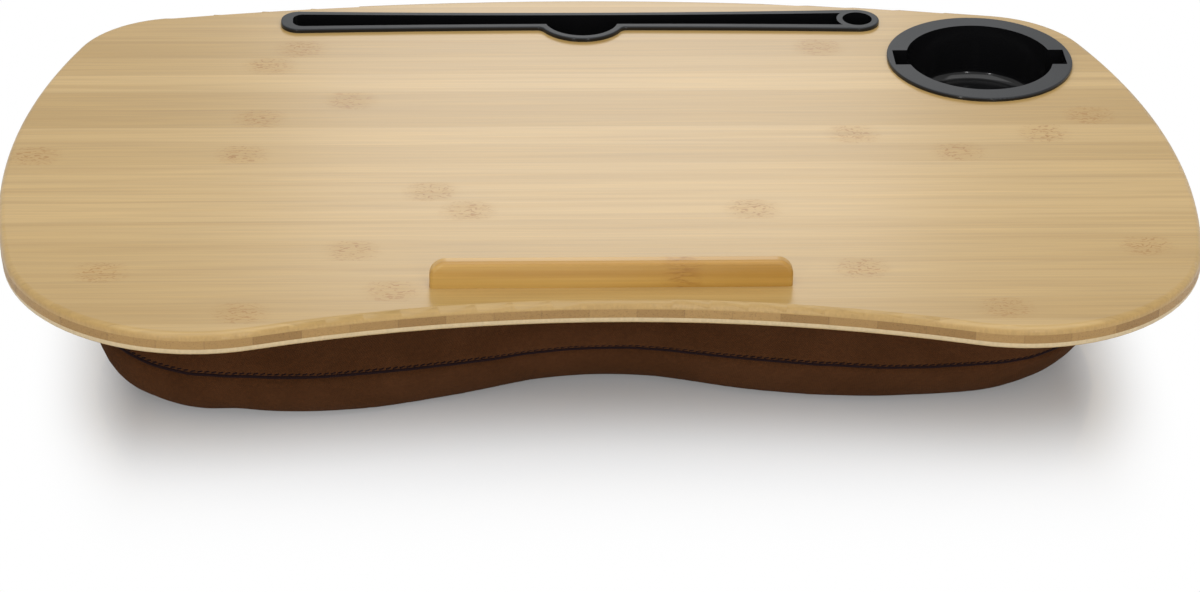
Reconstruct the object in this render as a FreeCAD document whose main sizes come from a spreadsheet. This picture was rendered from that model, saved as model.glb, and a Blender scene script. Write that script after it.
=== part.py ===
import FreeCAD, Part
import math
import os
import re

import Sketcher
from FreeCAD import Placement, Rotation, Vector

# A lap tray: a three-layer bamboo board with a tablet slot, a cup well and a stop ledge,
# on a kidney-shaped cushion with a zipped cover. Millimetres, +X right, +Y back, +Z up,
# origin on the floor under the middle of the board.

SIZES = {
    # Board outline: arcs that meet tangentially, hollow at the front.
    "tray_width": 600.0,
    "tray_depth": 368.8,
    "front_hollow": 28.2,
    "back_radius": 1254.0,
    "back_corner_radius": 58.0,
    "side_radius": 423.0,
    "lobe_radius": 96.3,
    "lobe_setback": 4.83,
    # Board layers.
    "top_ply_thickness": 3.8,
    "core_thickness": 4.5,
    "bottom_ply_thickness": 3.8,
    "edge_rounding": 3.2,
    "strip_width": 22.9,
    "face_strip_width": 20.5,
    # Stop ledge and its screws.
    "ledge_length": 175.5,
    "ledge_depth": 7.0,
    "ledge_height": 13.8,
    "ledge_setback": 42.9,
    "ledge_corner_radius": 8.0,
    "ledge_edge_radius": 2.0,
    "screw_margin": 27.75,
    "screw_radius": 1.9,
    "screw_head_radius": 3.6,
    "screw_bite": 9.0,
    "screw_clearance": 0.15,
    # Clearance round the plastic inserts where they sit in the board.
    "insert_clearance": 0.3,
    # Cup well.
    "cup_side_setback": 89.2,
    "cup_back_setback": 77.9,
    "cup_flange_height": 2.0,
    "cup_flange_margin": 3.6,
    "cup_opening_radius": 39.0,
    "cup_draft": 1.5,
    "cup_depth": 30.0,
    "cup_wall": 2.0,
    "cup_floor_fillet": 5.0,
    "cup_notch_width": 17.5,
    "cup_notch_depth": 7.0,
    # Tablet slot, with its thumb notch and pen well.
    "slot_back_setback": 30.2,
    "slot_flange_length": 324.0,
    "slot_flange_height": 2.2,
    "slot_width": 11.1,
    "slot_flare": 1.75,
    "slot_rim": 3.55,
    "slot_left_margin": 6.4,
    "slot_corner_radius": 10.0,
    "slot_end_radius": 5.5,
    "slot_wall": 1.8,
    "slot_floor": 1.6,
    "slot_relief": 0.2,
    "thumb_radius": 20.0,
    "thumb_blend_radius": 4.0,
    "pen_radius": 8.0,
    "pen_depth": 22.0,
    "pen_rim": 3.9,
    "pen_ring": 3.2,
    "flange_edge_radius": 0.8,
    # Cushion outline at its seam, and its section.
    "cushion_side_overhang": 43.0,
    "cushion_front_overhang": 41.9,
    "cushion_back_overhang": 52.4,
    "cushion_hollow": 25.5,
    "cushion_hollow_radius": 140.0,
    "cushion_bulge_radius": 314.0,
    "cushion_corner_radius": 75.0,
    "cushion_height": 57.0,
    "seam_height": 23.5,
    "floor_inset": 16.0,
    "top_inset": 4.0,
    "cover_thickness": 1.5,
    "liner_thickness": 0.8,
    "liner_side_gap": 5.6,
    "layer_gap": 0.3,
    # Hook-and-loop strips between board and cushion.
    "strap_length": 90.0,
    "strap_width": 20.0,
    "hook_thickness": 1.2,
    "loop_thickness": 1.2,
    "strap_side_setback": 147.0,
    "strap_front_setback": 70.5,
    "strap_back_setback": 77.0,
    # Zip, set in a window of the cover along the cushion's round back.
    "zip_margin_angle": 2.8,
    "zip_sweep": 70.0,
    "zip_recess": 2.3,
    "window_clearance": 0.6,
    "tape_thickness": 0.7,
    "tape_edge": 2.0,
    "tape_overlap": 1.2,
    "tooth_gap": 0.55,
    "tooth_height": 2.6,
    "tooth_width": 1.4,
    "tooth_pitch": 3.0,
    "bead_width": 0.5,
    "bead_height": 1.4,
    "stop_length": 2.4,
    "stop_gap": 0.6,
    # Slider with its bridge, wire loop and pull.
    "slider_length": 11.0,
    "slider_side_gap": 1.2,
    "slider_plate": 1.4,
    "slider_flange": 1.0,
    "slider_clearance": 0.35,
    "slider_corner_radius": 1.6,
    "neck_clearance": 0.3,
    "slider_neck_length": 3.0,
    "bridge_bar": 1.2,
    "bridge_margin": 1.3,
    "wire_radius": 0.6,
    "wire_gap": 0.35,
    "loop_length": 4.0,
    "hang_gap": 0.1,
    "pull_floor_gap": 2.2,
    "pull_thickness": 2.4,
    "pull_side_gap": 0.3,
    "pull_head_radius": 2.6,
    "pull_hole_radius": 1.3,
    "pull_side_radius": 44.0,
    "pull_tip_radius": 1.4,
    "pull_edge_radius": 0.5,
}

# Sizes that follow from those above, as formulas.
DERIVED = {
    # Heights of the board's layers above the floor.
    "board_base": "cushion_height + loop_thickness + hook_thickness",
    "core_base": "board_base + bottom_ply_thickness",
    "top_base": "core_base + core_thickness",
    "board_top": "top_base + top_ply_thickness",
    # Board outline and places on the board.
    "lobe_x": "tray_width / 2 - lobe_radius - lobe_setback",
    "hollow_radius": "(lobe_x * lobe_x + front_hollow * front_hollow) / (2 * front_hollow) - lobe_radius",
    "ledge_front": "ledge_setback - tray_depth / 2",
    "ledge_middle": "ledge_front + ledge_depth / 2",
    "screw_x": "ledge_length / 2 - screw_margin",
    "cup_x": "tray_width / 2 - cup_side_setback",
    "cup_y": "tray_depth / 2 - cup_back_setback",
    "cup_notch_reach": "cup_opening_radius + cup_notch_depth",
    "cup_flange_radius": "cup_notch_reach + cup_flange_margin",
    "slot_y": "tray_depth / 2 - slot_back_setback",
    "slot_left": "slot_left_margin - slot_flange_length / 2",
    "slot_end_half": "slot_width / 2 + slot_flare",
    "rim_half": "slot_width / 2 + slot_rim",
    "pen_rim_radius": "pen_radius + pen_rim",
    "pen_x": "slot_flange_length / 2 - pen_rim_radius",
    # Cushion outline. Its round back is one arc, which meets the front corners tangentially.
    "cushion_width": "tray_width - 2 * cushion_side_overhang",
    "cushion_front": "tray_depth / 2 - cushion_front_overhang",
    "cushion_back": "tray_depth / 2 - cushion_back_overhang",
    "bulge_x": "sqrt(2 * (cushion_hollow_radius + cushion_bulge_radius) * cushion_hollow"
               " - cushion_hollow * cushion_hollow)",
    "bulge_reach": "cushion_bulge_radius - cushion_corner_radius",
    "corner_x": "cushion_width / 2 - cushion_corner_radius",
    "corner_y": "cushion_bulge_radius - cushion_front"
                " - sqrt(bulge_reach * bulge_reach - (corner_x - bulge_x) * (corner_x - bulge_x))",
    "back_drop": "cushion_back - corner_y",
    "round_radius": "(back_drop * back_drop + corner_x * corner_x"
                    " - cushion_corner_radius * cushion_corner_radius)"
                    " / (2 * (back_drop - cushion_corner_radius))",
    "round_y": "cushion_back - round_radius",
    "round_end": "180 - atan((corner_y - round_y) / corner_x) / 1 deg",
    # Hook-and-loop strips.
    "strap_x": "cushion_width / 2 - strap_side_setback",
    "strap_front_y": "cushion_front - strap_front_setback",
    "strap_back_y": "cushion_back - strap_back_setback",
    # Zip, at radii and angles about the axis of the cushion's round back.
    "zip_start_angle": "round_end - zip_margin_angle",
    "zip_end_angle": "zip_start_angle - zip_sweep",
    "tape_face": "round_radius - zip_recess",
    "tape_back": "tape_face - tape_thickness",
    "chain_middle": "tape_face - tape_thickness / 2",
    "tooth_face": "chain_middle + tooth_height / 2",
    "tooth_back": "chain_middle - tooth_height / 2",
    "stop_sweep": "stop_length / chain_middle * 180 / pi",
    "gap_sweep": "(stop_gap + tooth_width / 2) / chain_middle * 180 / pi",
    "chain_start": "zip_end_angle + stop_sweep + gap_sweep",
    "chain_sweep": "zip_sweep - 2 * stop_sweep - 2 * gap_sweep",
    "slider_half_width": "tape_edge + slider_side_gap + slider_flange",
    "window_half_height": "slider_half_width + window_clearance",
    "tape_half_width": "window_half_height + tape_overlap",
    # Slider. The loop's bend takes the pull's thickness; it hangs on the bridge, and the pull on it.
    "slider_angle": "zip_start_angle - stop_sweep"
                    " - (stop_gap + slider_length / 2) / chain_middle * 180 / pi",
    "plate_in": "tooth_face + slider_clearance",
    "plate_out": "plate_in + slider_plate",
    "back_out": "tooth_back - slider_clearance",
    "back_in": "back_out - slider_plate",
    "slider_neck_thickness": "2 * (tooth_gap - neck_clearance)",
    "bridge_length": "slider_length - 2 * bridge_margin",
    "loop_bend": "pull_thickness / 2 + pull_side_gap + wire_radius",
    "loop_inside": "loop_bend - wire_radius",
    "loop_x": "plate_out + wire_gap + wire_radius + loop_bend",
    "loop_top": "seam_height + bridge_bar / 2 + hang_gap - loop_inside",
    "loop_low": "loop_top - loop_length",
    "pull_rest": "sqrt(loop_inside * loop_inside - pull_thickness * pull_thickness / 4)",
    "pull_z": "loop_low - pull_rest + hang_gap - pull_hole_radius",
    "leaf_length": "pull_z - pull_floor_gap - pull_tip_radius",
}

doc = FreeCAD.newDocument("lap_tray")
sheet = doc.addObject("Spreadsheet::Sheet", "Sizes")
for row, (name, number) in enumerate(SIZES.items(), start=1):
    sheet.set(f"A{row}", name)
    sheet.set(f"B{row}", str(number))
    sheet.setAlias(f"B{row}", name)
doc.recompute()
nodes = []


# Formulas

def cells(formula):
    """Write a formula of size names as references to the sheet's cells."""
    def cell(match):
        word = match.group(0)
        if word in DERIVED:
            return f"({cells(DERIVED[word])})"
        return f"Sizes.{word}" if word in SIZES else word
    return re.sub(r"[a-z][a-z_]*", cell, str(formula))


def value(formula):
    """Work a formula of size names out from the sheet."""
    return float(sheet.evalExpression(cells(formula)))


def bind(feature, attribute, formula):
    """Tie one property of a feature to a formula of size names."""
    feature.setExpression(attribute, cells(formula))


# Bodies and sketches

def new_body(label):
    body = doc.addObject("PartDesign::Body", label)
    body.Label = label
    return body


def origin_feature(body, role):
    return next(item for item in body.Origin.OriginFeatures if item.Role == role)


def new_sketch(body, name, offset="0", plane="XY_Plane"):
    """A sketch on one of the body's own planes, moved along that plane's normal."""
    sketch = body.newObject("Sketcher::SketchObject", name)
    sketch.AttachmentSupport = [(origin_feature(body, plane), "")]
    sketch.MapMode = "FlatFace"
    bind(sketch, "AttachmentOffset.Base.z", offset)
    return sketch


def constrain(sketch, kind, geometry, point, formula):
    """Set a point's distance from the sketch's origin along one axis."""
    datum = Sketcher.Constraint(kind, -1, 1, geometry, point, value(formula))
    bind(sketch, f"Constraints[{sketch.addConstraint(datum)}]", formula)


def pin(sketch, geometry, point, x, y):
    constrain(sketch, "DistanceX", geometry, point, x)
    constrain(sketch, "DistanceY", geometry, point, y)


def set_radius(sketch, geometry, formula):
    datum = Sketcher.Constraint("Radius", geometry, value(formula))
    bind(sketch, f"Constraints[{sketch.addConstraint(datum)}]", formula)


def arc_of(centre, radius, start, end):
    circle = Part.Circle(Vector(*centre, 0), Vector(0, 0, 1), radius)
    return Part.ArcOfCircle(circle, start, end)


def add_circle(sketch, x, y, radius):
    centre = Vector(value(x), value(y), 0)
    circle = sketch.addGeometry(Part.Circle(centre, Vector(0, 0, 1), value(radius)), False)
    pin(sketch, circle, 3, x, y)
    set_radius(sketch, circle, radius)


def add_arc(sketch, first, last, radius, side):
    way = last - first
    rise = math.sqrt(radius ** 2 - (way.Length / 2) ** 2)
    turn = 1 if side == "left" else -1
    centre = (first + last) / 2 + Vector(-way.y, way.x, 0) / way.Length * rise * turn
    begin, finish = (first, last) if side == "left" else (last, first)
    start = math.atan2(begin.y - centre.y, begin.x - centre.x)
    end = math.atan2(finish.y - centre.y, finish.x - centre.x)
    geometry = sketch.addGeometry(arc_of((centre.x, centre.y), radius, start, end), False)
    return (geometry, 1, 2) if side == "left" else (geometry, 2, 1)


def add_profile(sketch, corners):
    """Close a profile through corners (x, y) or (x, y, radius, side).

    A radius makes the stretch to the next corner an arc, with its centre on that side of the way.
    """
    ends = []
    for corner, following in zip(corners, corners[1:] + corners[:1]):
        first = Vector(value(corner[0]), value(corner[1]), 0)
        last = Vector(value(following[0]), value(following[1]), 0)
        if len(corner) == 2:
            ends.append((sketch.addGeometry(Part.LineSegment(first, last), False), 1, 2))
        else:
            ends.append(add_arc(sketch, first, last, value(corner[2]), corner[3]))
    for corner, end, following in zip(corners, ends, ends[1:] + ends[:1]):
        sketch.addConstraint(
            Sketcher.Constraint("Coincident", end[0], end[2], following[0], following[1]))
        pin(sketch, end[0], end[1], corner[0], corner[1])
        if len(corner) > 2:
            set_radius(sketch, end[0], corner[2])


def add_rectangle(sketch, left, right, low, high):
    add_profile(sketch, [(left, low), (right, low), (right, high), (left, high)])


def add_feature(body, kind, sketch, **formulas):
    feature = body.newObject(f"PartDesign::{kind}", kind)
    feature.Profile = sketch
    for attribute, formula in formulas.items():
        bind(feature, attribute, formula)
    return feature


def pad(body, sketch, length, both_ways=False, downwards=False):
    feature = add_feature(body, "Pad", sketch, Length=length)
    feature.Midplane = both_ways
    feature.Reversed = downwards
    doc.recompute()


def check_cut(body, sketch, before):
    if not body.Shape.Volume < before:
        raise ValueError(f"{body.Label}: {sketch.Name} cut nothing")


def pocket(body, sketch, depth, upwards=False):
    """Cut downwards, or upwards, from the sketch, and check that something was cut."""
    before = body.Shape.Volume
    feature = add_feature(body, "Pocket", sketch, Length=depth)
    feature.Reversed = upwards
    doc.recompute()
    check_cut(body, sketch, before)


def revolve(body, sketch, angle="360", kind="Revolution"):
    feature = add_feature(body, kind, sketch, Angle=angle)
    feature.ReferenceAxis = (sketch, ["V_Axis"])
    doc.recompute()


def soften(body, kind, attribute, formula, chosen):
    """Round or bevel the edges of the body's last feature for which chosen(edge) holds."""
    base = body.Tip
    names = [f"Edge{index}" for index, edge in enumerate(base.Shape.Edges, start=1) if chosen(edge)]
    feature = body.newObject(f"PartDesign::{kind}", kind)
    feature.Base = (base, names)
    bind(feature, attribute, formula)
    doc.recompute()


def fillet(body, radius, chosen):
    soften(body, "Fillet", "Radius", radius, chosen)


def lies_at(edge, height):
    return max(abs(edge.BoundBox.ZMin - height), abs(edge.BoundBox.ZMax - height)) < 1e-4


def boolean(label, kind, base, tool):
    feature = doc.addObject(f"Part::{kind}", label)
    feature.Label = label
    feature.Base = base
    feature.Tool = tool
    doc.recompute()
    return feature


def group(label, pieces):
    compound = doc.addObject("Part::Compound", label)
    compound.Label = label
    compound.Links = pieces
    doc.recompute()
    return compound


def add_box(name, corner, lengths):
    box = doc.addObject("Part::Box", name)
    for attribute, formula in zip(("Length", "Width", "Height"), lengths):
        bind(box, attribute, formula)
    for axis, formula in zip("xyz", corner):
        bind(box, f"Placement.Base.{axis}", formula)
    return box


# Outlines of tangent arcs

def direction(start, end):
    return math.atan2(end[1] - start[1], end[0] - start[0])


def mirrored(arc):
    (x, y), radius, start, end = arc
    return (-x, y), radius, math.pi - end, math.pi - start


def outer_crossing(first, first_radius, second, second_radius):
    """Where two circles cross, on the right of the way from the first centre to the second."""
    gap = math.dist(first, second)
    along = (first_radius ** 2 - second_radius ** 2 + gap ** 2) / (2 * gap)
    aside = math.sqrt(first_radius ** 2 - along ** 2)
    way_x = (second[0] - first[0]) / gap
    way_y = (second[1] - first[1]) / gap
    return first[0] + along * way_x + aside * way_y, first[1] + along * way_y - aside * way_x


def join_arcs(sketch, arcs, radii):
    """Add an outline's arcs, the hollow one last, tangent to each other and bound to their radii."""
    lines = [sketch.addGeometry(arc_of(*arc), False) for arc in arcs]
    hollow = lines[-1]
    meetings = [(first, 2, second, 1) for first, second in zip(lines[:-2], lines[1:-1])]
    meetings += [(lines[-2], 2, hollow, 2), (hollow, 1, lines[0], 1)]
    for first, first_point, second, second_point in meetings:
        sketch.addConstraint(Sketcher.Constraint("Tangent", first, first_point, second, second_point))
    for line, radius in zip(lines, radii):
        if radius:
            set_radius(sketch, line, radius)
    return lines


def on_middle_line(sketch, geometry, point=3):
    sketch.addConstraint(Sketcher.Constraint("PointOnObject", geometry, point, -2))


def add_board_outline(sketch):
    """The board's rim: front lobes, sides, back corners, back, and the hollow between the lobes."""
    lobe_radius = value("lobe_radius")
    side_radius = value("side_radius")
    corner_radius = value("back_corner_radius")
    back_radius = value("back_radius")
    hollow_radius = value("hollow_radius")
    hollow = (0.0, value("front_hollow - tray_depth / 2 - hollow_radius"))
    lobe_y = value("lobe_radius - tray_depth / 2")
    lobe = (math.sqrt((hollow_radius + lobe_radius) ** 2 - (lobe_y - hollow[1]) ** 2), lobe_y)
    side_x = value("tray_width / 2 - side_radius")
    side = (side_x, lobe_y + math.sqrt((side_radius - lobe_radius) ** 2 - (lobe[0] - side_x) ** 2))
    back = (0.0, value("tray_depth / 2 - back_radius"))
    corner = outer_crossing(back, back_radius - corner_radius, side, side_radius - corner_radius)
    if corner[0] < 0:
        corner = outer_crossing(side, side_radius - corner_radius, back, back_radius - corner_radius)
    right = [
        (lobe, lobe_radius, direction(lobe, hollow), direction(side, lobe)),
        (side, side_radius, direction(side, lobe), direction(side, corner)),
        (corner, corner_radius, direction(side, corner), direction(back, corner)),
    ]
    turn = direction(back, corner)
    edge = direction(hollow, lobe)
    arcs = right + [(back, back_radius, turn, math.pi - turn)]
    arcs += [mirrored(arc) for arc in reversed(right)]
    arcs += [(hollow, hollow_radius, edge, math.pi - edge)]
    radii = ["lobe_radius", "side_radius", "back_corner_radius", "back_radius"]
    lines = join_arcs(sketch, arcs, radii + radii[2::-1] + ["hollow_radius"])
    on_middle_line(sketch, lines[3])
    on_middle_line(sketch, lines[7])
    constrain(sketch, "DistanceY", lines[3], 3, "tray_depth / 2 - back_radius")
    constrain(sketch, "DistanceY", lines[7], 3, "front_hollow - tray_depth / 2 - hollow_radius")
    constrain(sketch, "DistanceX", lines[1], 3, "tray_width / 2 - side_radius")
    constrain(sketch, "DistanceX", lines[5], 3, "side_radius - tray_width / 2")
    for lobe_line in (lines[0], lines[6]):
        constrain(sketch, "DistanceY", lobe_line, 3, "lobe_radius - tray_depth / 2")


def add_cushion_outline(sketch, inset):
    """The cushion's outline, drawn in by an inset: front bulges, corners, round back and hollow."""
    bulge_radius = f"(cushion_bulge_radius - ({inset}))"
    corner_radius = f"(cushion_corner_radius - ({inset}))"
    hollow_radius = f"(cushion_hollow_radius + {inset})"
    hollow_y = "cushion_hollow - cushion_front - cushion_hollow_radius"
    bulge_y = "cushion_bulge_radius - cushion_front"
    back_y = f"cushion_back - ({inset})"
    bulge = (value("bulge_x"), value(bulge_y))
    corner = (value("corner_x"), value("corner_y"))
    back = (0.0, value("round_y"))
    hollow = (0.0, value(hollow_y))
    right = [
        (bulge, value(bulge_radius), direction(bulge, hollow), direction(bulge, corner)),
        (corner, value(corner_radius), direction(bulge, corner), direction(back, corner)),
        (back, value("round_radius") - value(inset), direction(back, corner), math.pi / 2),
    ]
    edge = direction(hollow, bulge)
    arcs = right + [mirrored(arc) for arc in reversed(right)]
    arcs += [(hollow, value(hollow_radius), edge, math.pi - edge)]
    radii = [bulge_radius, corner_radius, None]
    lines = join_arcs(sketch, arcs, radii + radii[::-1] + [hollow_radius])
    on_middle_line(sketch, lines[2])
    on_middle_line(sketch, lines[2], 2)
    constrain(sketch, "DistanceY", lines[2], 2, back_y)
    on_middle_line(sketch, lines[6])
    constrain(sketch, "DistanceY", lines[6], 3, hollow_y)
    constrain(sketch, "DistanceX", lines[1], 3, "corner_x")
    constrain(sketch, "DistanceX", lines[4], 3, "-corner_x")
    for bulge_line in (lines[0], lines[5]):
        constrain(sketch, "DistanceY", bulge_line, 3, bulge_y)


# Board

def add_bowed_bar(sketch, left, right, half_width, flare):
    """A bar along the slot whose long sides bow in by the flare at the middle."""
    span = f"(({right}) - ({left}))"
    bow = f"(({span} * {span} / 4 + ({flare}) * ({flare})) / (2 * ({flare})))"
    front = f"slot_y - ({half_width}) - ({flare})"
    back = f"slot_y + {half_width} + {flare}"
    add_profile(sketch, [
        (left, front, bow, "right"), (right, front), (right, back, bow, "right"), (left, back),
    ])


def add_thumb(sketch, radius):
    """Half disc in front of the slot's middle line."""
    aside = f"{radius} * 0.8"
    deep = f"slot_y - {radius} * 0.6"
    add_profile(sketch, [
        (f"-{radius}", "slot_y", radius, "left"),
        (f"-{aside}", deep, radius, "left"),
        (aside, deep, radius, "left"),
        (radius, "slot_y"),
    ])


def cut_openings(body, top, depth):
    """Cut a layer of the board for the cup well, the tablet slot and the ledge screws."""
    cup_grow = "(cup_wall + insert_clearance)"
    cup = new_sketch(body, "CupOpening", top)
    add_circle(cup, "cup_x", "cup_y", f"cup_opening_radius + {cup_grow}")
    pocket(body, cup, depth)
    notches = new_sketch(body, "NotchOpening", top)
    add_cup_notches(notches, cup_grow)
    pocket(body, notches, depth)
    slot_grow = "(slot_wall + insert_clearance)"
    slot = new_sketch(body, "SlotOpening", top)
    add_bowed_bar(slot, f"slot_left - {slot_grow}", "pen_x", f"slot_width / 2 + {slot_grow}", "slot_flare")
    pocket(body, slot, depth)
    pen = new_sketch(body, "PenOpening", top)
    add_circle(pen, "pen_x", "slot_y", f"pen_radius + {slot_grow}")
    pocket(body, pen, depth)
    thumb = new_sketch(body, "ThumbOpening", top)
    add_thumb(thumb, f"(thumb_radius + {slot_grow})")
    pocket(body, thumb, depth)
    screws = new_sketch(body, "ScrewHoles", top)
    for side in ("-", ""):
        add_circle(screws, f"{side}screw_x", "ledge_middle", "screw_radius + screw_clearance")
    pocket(body, screws, depth)


def add_cup_notches(sketch, grow):
    reach = f"(cup_notch_reach + {grow})"
    half = f"(cup_notch_width / 2 + {grow})"
    add_rectangle(sketch, f"cup_x - {reach}", f"cup_x + {reach}", f"cup_y - {half}", f"cup_y + {half}")


def make_layer(label, base, thickness, rounded_height=None):
    body = new_body(label)
    outline = new_sketch(body, "Outline", base)
    add_board_outline(outline)
    pad(body, outline, thickness)
    if rounded_height:
        fillet(body, "edge_rounding", lambda edge: lies_at(edge, value(rounded_height)))
    cut_openings(body, f"{base} + {thickness}", thickness)
    return body


def strip_places(span, width):
    """Near edges of strips side by side that cover a span, with one strip in the middle."""
    count = 2 * math.ceil(value(f"{span} / {width} / 2 - 0.5")) + 1
    return [f"{width} * {index - count / 2}" for index in range(count)]


def make_core():
    """The core is glued up from strips that run front to back, cut to the board's outline."""
    blank = make_layer("core_blank", "core_base", "core_thickness")
    strips = [add_box("CoreStrip", (left, "-tray_depth / 2", "core_base"),
                      ("strip_width", "tray_depth", "core_thickness"))
              for left in strip_places("tray_width", "strip_width")]
    return boolean("core_strips", "Common", blank, group("CoreStock", strips))


def make_top():
    """The top ply is glued up from strips that run from side to side, the outermost ones wider."""
    blank = make_layer("top_blank", "top_base", "top_ply_thickness", "board_top")
    inner = strip_places("tray_depth", "face_strip_width")[2:-1]
    edges = ["-tray_depth / 2", *inner, "tray_depth / 2"]
    strips = [add_box("FaceStrip", ("-tray_width / 2", front, "top_base"),
                      ("tray_width", f"{back} - ({front})", "top_ply_thickness"))
              for front, back in zip(edges, edges[1:])]
    return boolean("top_ply", "Common", blank, group("FaceStock", strips))


def make_board():
    bottom = make_layer("bottom_ply", "board_base", "bottom_ply_thickness", "board_base")
    hole = value("screw_radius + screw_clearance")
    soften(bottom, "Chamfer", "Size", "screw_head_radius - screw_radius",
           lambda edge: lies_at(edge, value("board_base")) and hasattr(edge.Curve, "Radius")
           and abs(edge.Curve.Radius - hole) < 1e-4)
    nodes.extend([bottom, make_core(), make_top()])


def make_ledge():
    ledge = new_body("device_ledge")
    face = new_sketch(ledge, "Face", "-(ledge_front + ledge_depth)", "XZ_Plane")
    top = "board_top + ledge_height"
    low = f"{top} - ledge_corner_radius"
    half = "ledge_length / 2"
    inner = f"{half} - ledge_corner_radius"
    add_profile(face, [
        (f"-{half}", "board_top"), (half, "board_top"), (half, low, "ledge_corner_radius", "left"),
        (inner, top), (f"-({inner})", top, "ledge_corner_radius", "left"), (f"-{half}", low),
    ])
    pad(ledge, face, "ledge_depth")
    base = value("board_top")
    fillet(ledge, "ledge_edge_radius",
           lambda edge: edge.BoundBox.YLength < 1e-4 and not lies_at(edge, base))
    holes = new_sketch(ledge, "PilotHoles", "board_top")
    for side in ("-", ""):
        add_circle(holes, f"{side}screw_x", "ledge_middle", "screw_radius + screw_clearance")
    pocket(ledge, holes, "screw_bite + screw_clearance", upwards=True)
    nodes.append(ledge)


def make_screws():
    screws = []
    for side in ("-", ""):
        screw = new_body("LedgeScrew")
        profile = new_sketch(screw, "Profile", plane="XZ_Plane")
        tip = "board_top + screw_bite"
        add_profile(profile, [
            ("0", "board_base"), ("screw_head_radius", "board_base"),
            ("screw_radius", "board_base + screw_head_radius - screw_radius"),
            ("screw_radius", f"{tip} - screw_radius"), ("0", tip),
        ])
        revolve(screw, profile)
        bind(screw, "Placement.Base.x", f"{side}screw_x")
        bind(screw, "Placement.Base.y", "ledge_middle")
        screws.append(screw)
    nodes.append(group("ledge_screws", screws))


# Plastic inserts

def make_cup():
    cup = new_body("cup_insert")
    block = new_sketch(cup, "NotchBlock", "board_top")
    add_cup_notches(block, "cup_wall")
    pad(cup, block, "cup_depth - cup_flange_height - cup_floor_fillet", downwards=True)
    top = "(board_top + cup_flange_height)"
    floor = f"({top} - cup_depth)"
    foot = "(cup_opening_radius - cup_draft)"
    shell = new_sketch(cup, "Shell", "-cup_y", "XZ_Plane")
    bind(shell, "AttachmentOffset.Base.x", "cup_x")
    rounding = "(cup_floor_fillet + cup_wall)"
    add_profile(shell, [
        ("0", f"{floor} - cup_wall"),
        (f"{foot} + cup_wall - {rounding}", f"{floor} - cup_wall", rounding, "left"),
        (f"{foot} + cup_wall", f"{floor} + cup_floor_fillet"),
        ("cup_opening_radius + cup_wall", "board_top"),
        ("cup_flange_radius", "board_top"),
        ("cup_flange_radius", f"{top} - flange_edge_radius", "flange_edge_radius", "left"),
        ("cup_flange_radius - flange_edge_radius", top),
        ("0", top),
    ])
    revolve(cup, shell)
    hollow = new_sketch(cup, "Hollow", "-cup_y", "XZ_Plane")
    bind(hollow, "AttachmentOffset.Base.x", "cup_x")
    add_profile(hollow, [
        ("0", floor),
        (f"{foot} - cup_floor_fillet", floor, "cup_floor_fillet", "left"),
        (foot, f"{floor} + cup_floor_fillet"),
        ("cup_opening_radius", top),
        ("0", top),
    ])
    solid_volume = cup.Shape.Volume
    revolve(cup, hollow, kind="Groove")
    check_cut(cup, hollow, solid_volume)
    notches = new_sketch(cup, "Notches", top)
    add_cup_notches(notches, "0")
    pocket(cup, notches, "cup_depth - cup_floor_fillet - cup_wall")
    nodes.append(cup)


def add_slot_rim(sketch):
    """The slot's flange: long sides that bow in, a round end about the pen well, rounded left corners."""
    left = "(0 - slot_flange_length / 2)"
    corner_x = f"({left} + slot_corner_radius)"
    middle = f"(({left} + pen_x) / 2)"
    reach = f"(pen_x - {middle})"
    bow = (f"(({reach} * {reach} + rim_half * rim_half - pen_rim_radius * pen_rim_radius)"
           " / (2 * (pen_rim_radius - rim_half)))")
    bow_away = f"({bow} + rim_half)"
    corner_run = f"({middle} - {corner_x})"
    corner_sum = f"({bow} + slot_corner_radius)"
    corner_away = f"({bow_away} - sqrt({corner_sum} * {corner_sum} - {corner_run} * {corner_run}))"
    left_x = f"({corner_x} + slot_corner_radius * {corner_run} / {corner_sum})"
    left_away = f"({corner_away} + slot_corner_radius * ({bow_away} - {corner_away}) / {corner_sum})"
    right_x = f"(pen_x - pen_rim_radius * {reach} / ({bow} + pen_rim_radius))"
    right_away = f"(pen_rim_radius * {bow_away} / ({bow} + pen_rim_radius))"
    add_profile(sketch, [
        (left_x, f"slot_y - {left_away}", bow, "right"),
        (right_x, f"slot_y - {right_away}", "pen_rim_radius", "left"),
        ("pen_x + pen_rim_radius", "slot_y", "pen_rim_radius", "left"),
        (right_x, f"slot_y + {right_away}", bow, "right"),
        (left_x, f"slot_y + {left_away}", "slot_corner_radius", "left"),
        (left, f"slot_y + {corner_away}"),
        (left, f"slot_y - {corner_away}", "slot_corner_radius", "left"),
    ])


def is_thumb_corner(edge):
    """The upright edges where the thumb notch's rim meets the front of the slot's rim."""
    box = edge.BoundBox
    upright = box.XLength < 1e-4 and box.YLength < 1e-4
    near_thumb = abs(box.XMin) < value("thumb_radius + slot_rim")
    near_side = abs(value("slot_y - rim_half") - box.YMin) < value("slot_flare")
    return upright and near_thumb and near_side


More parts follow.
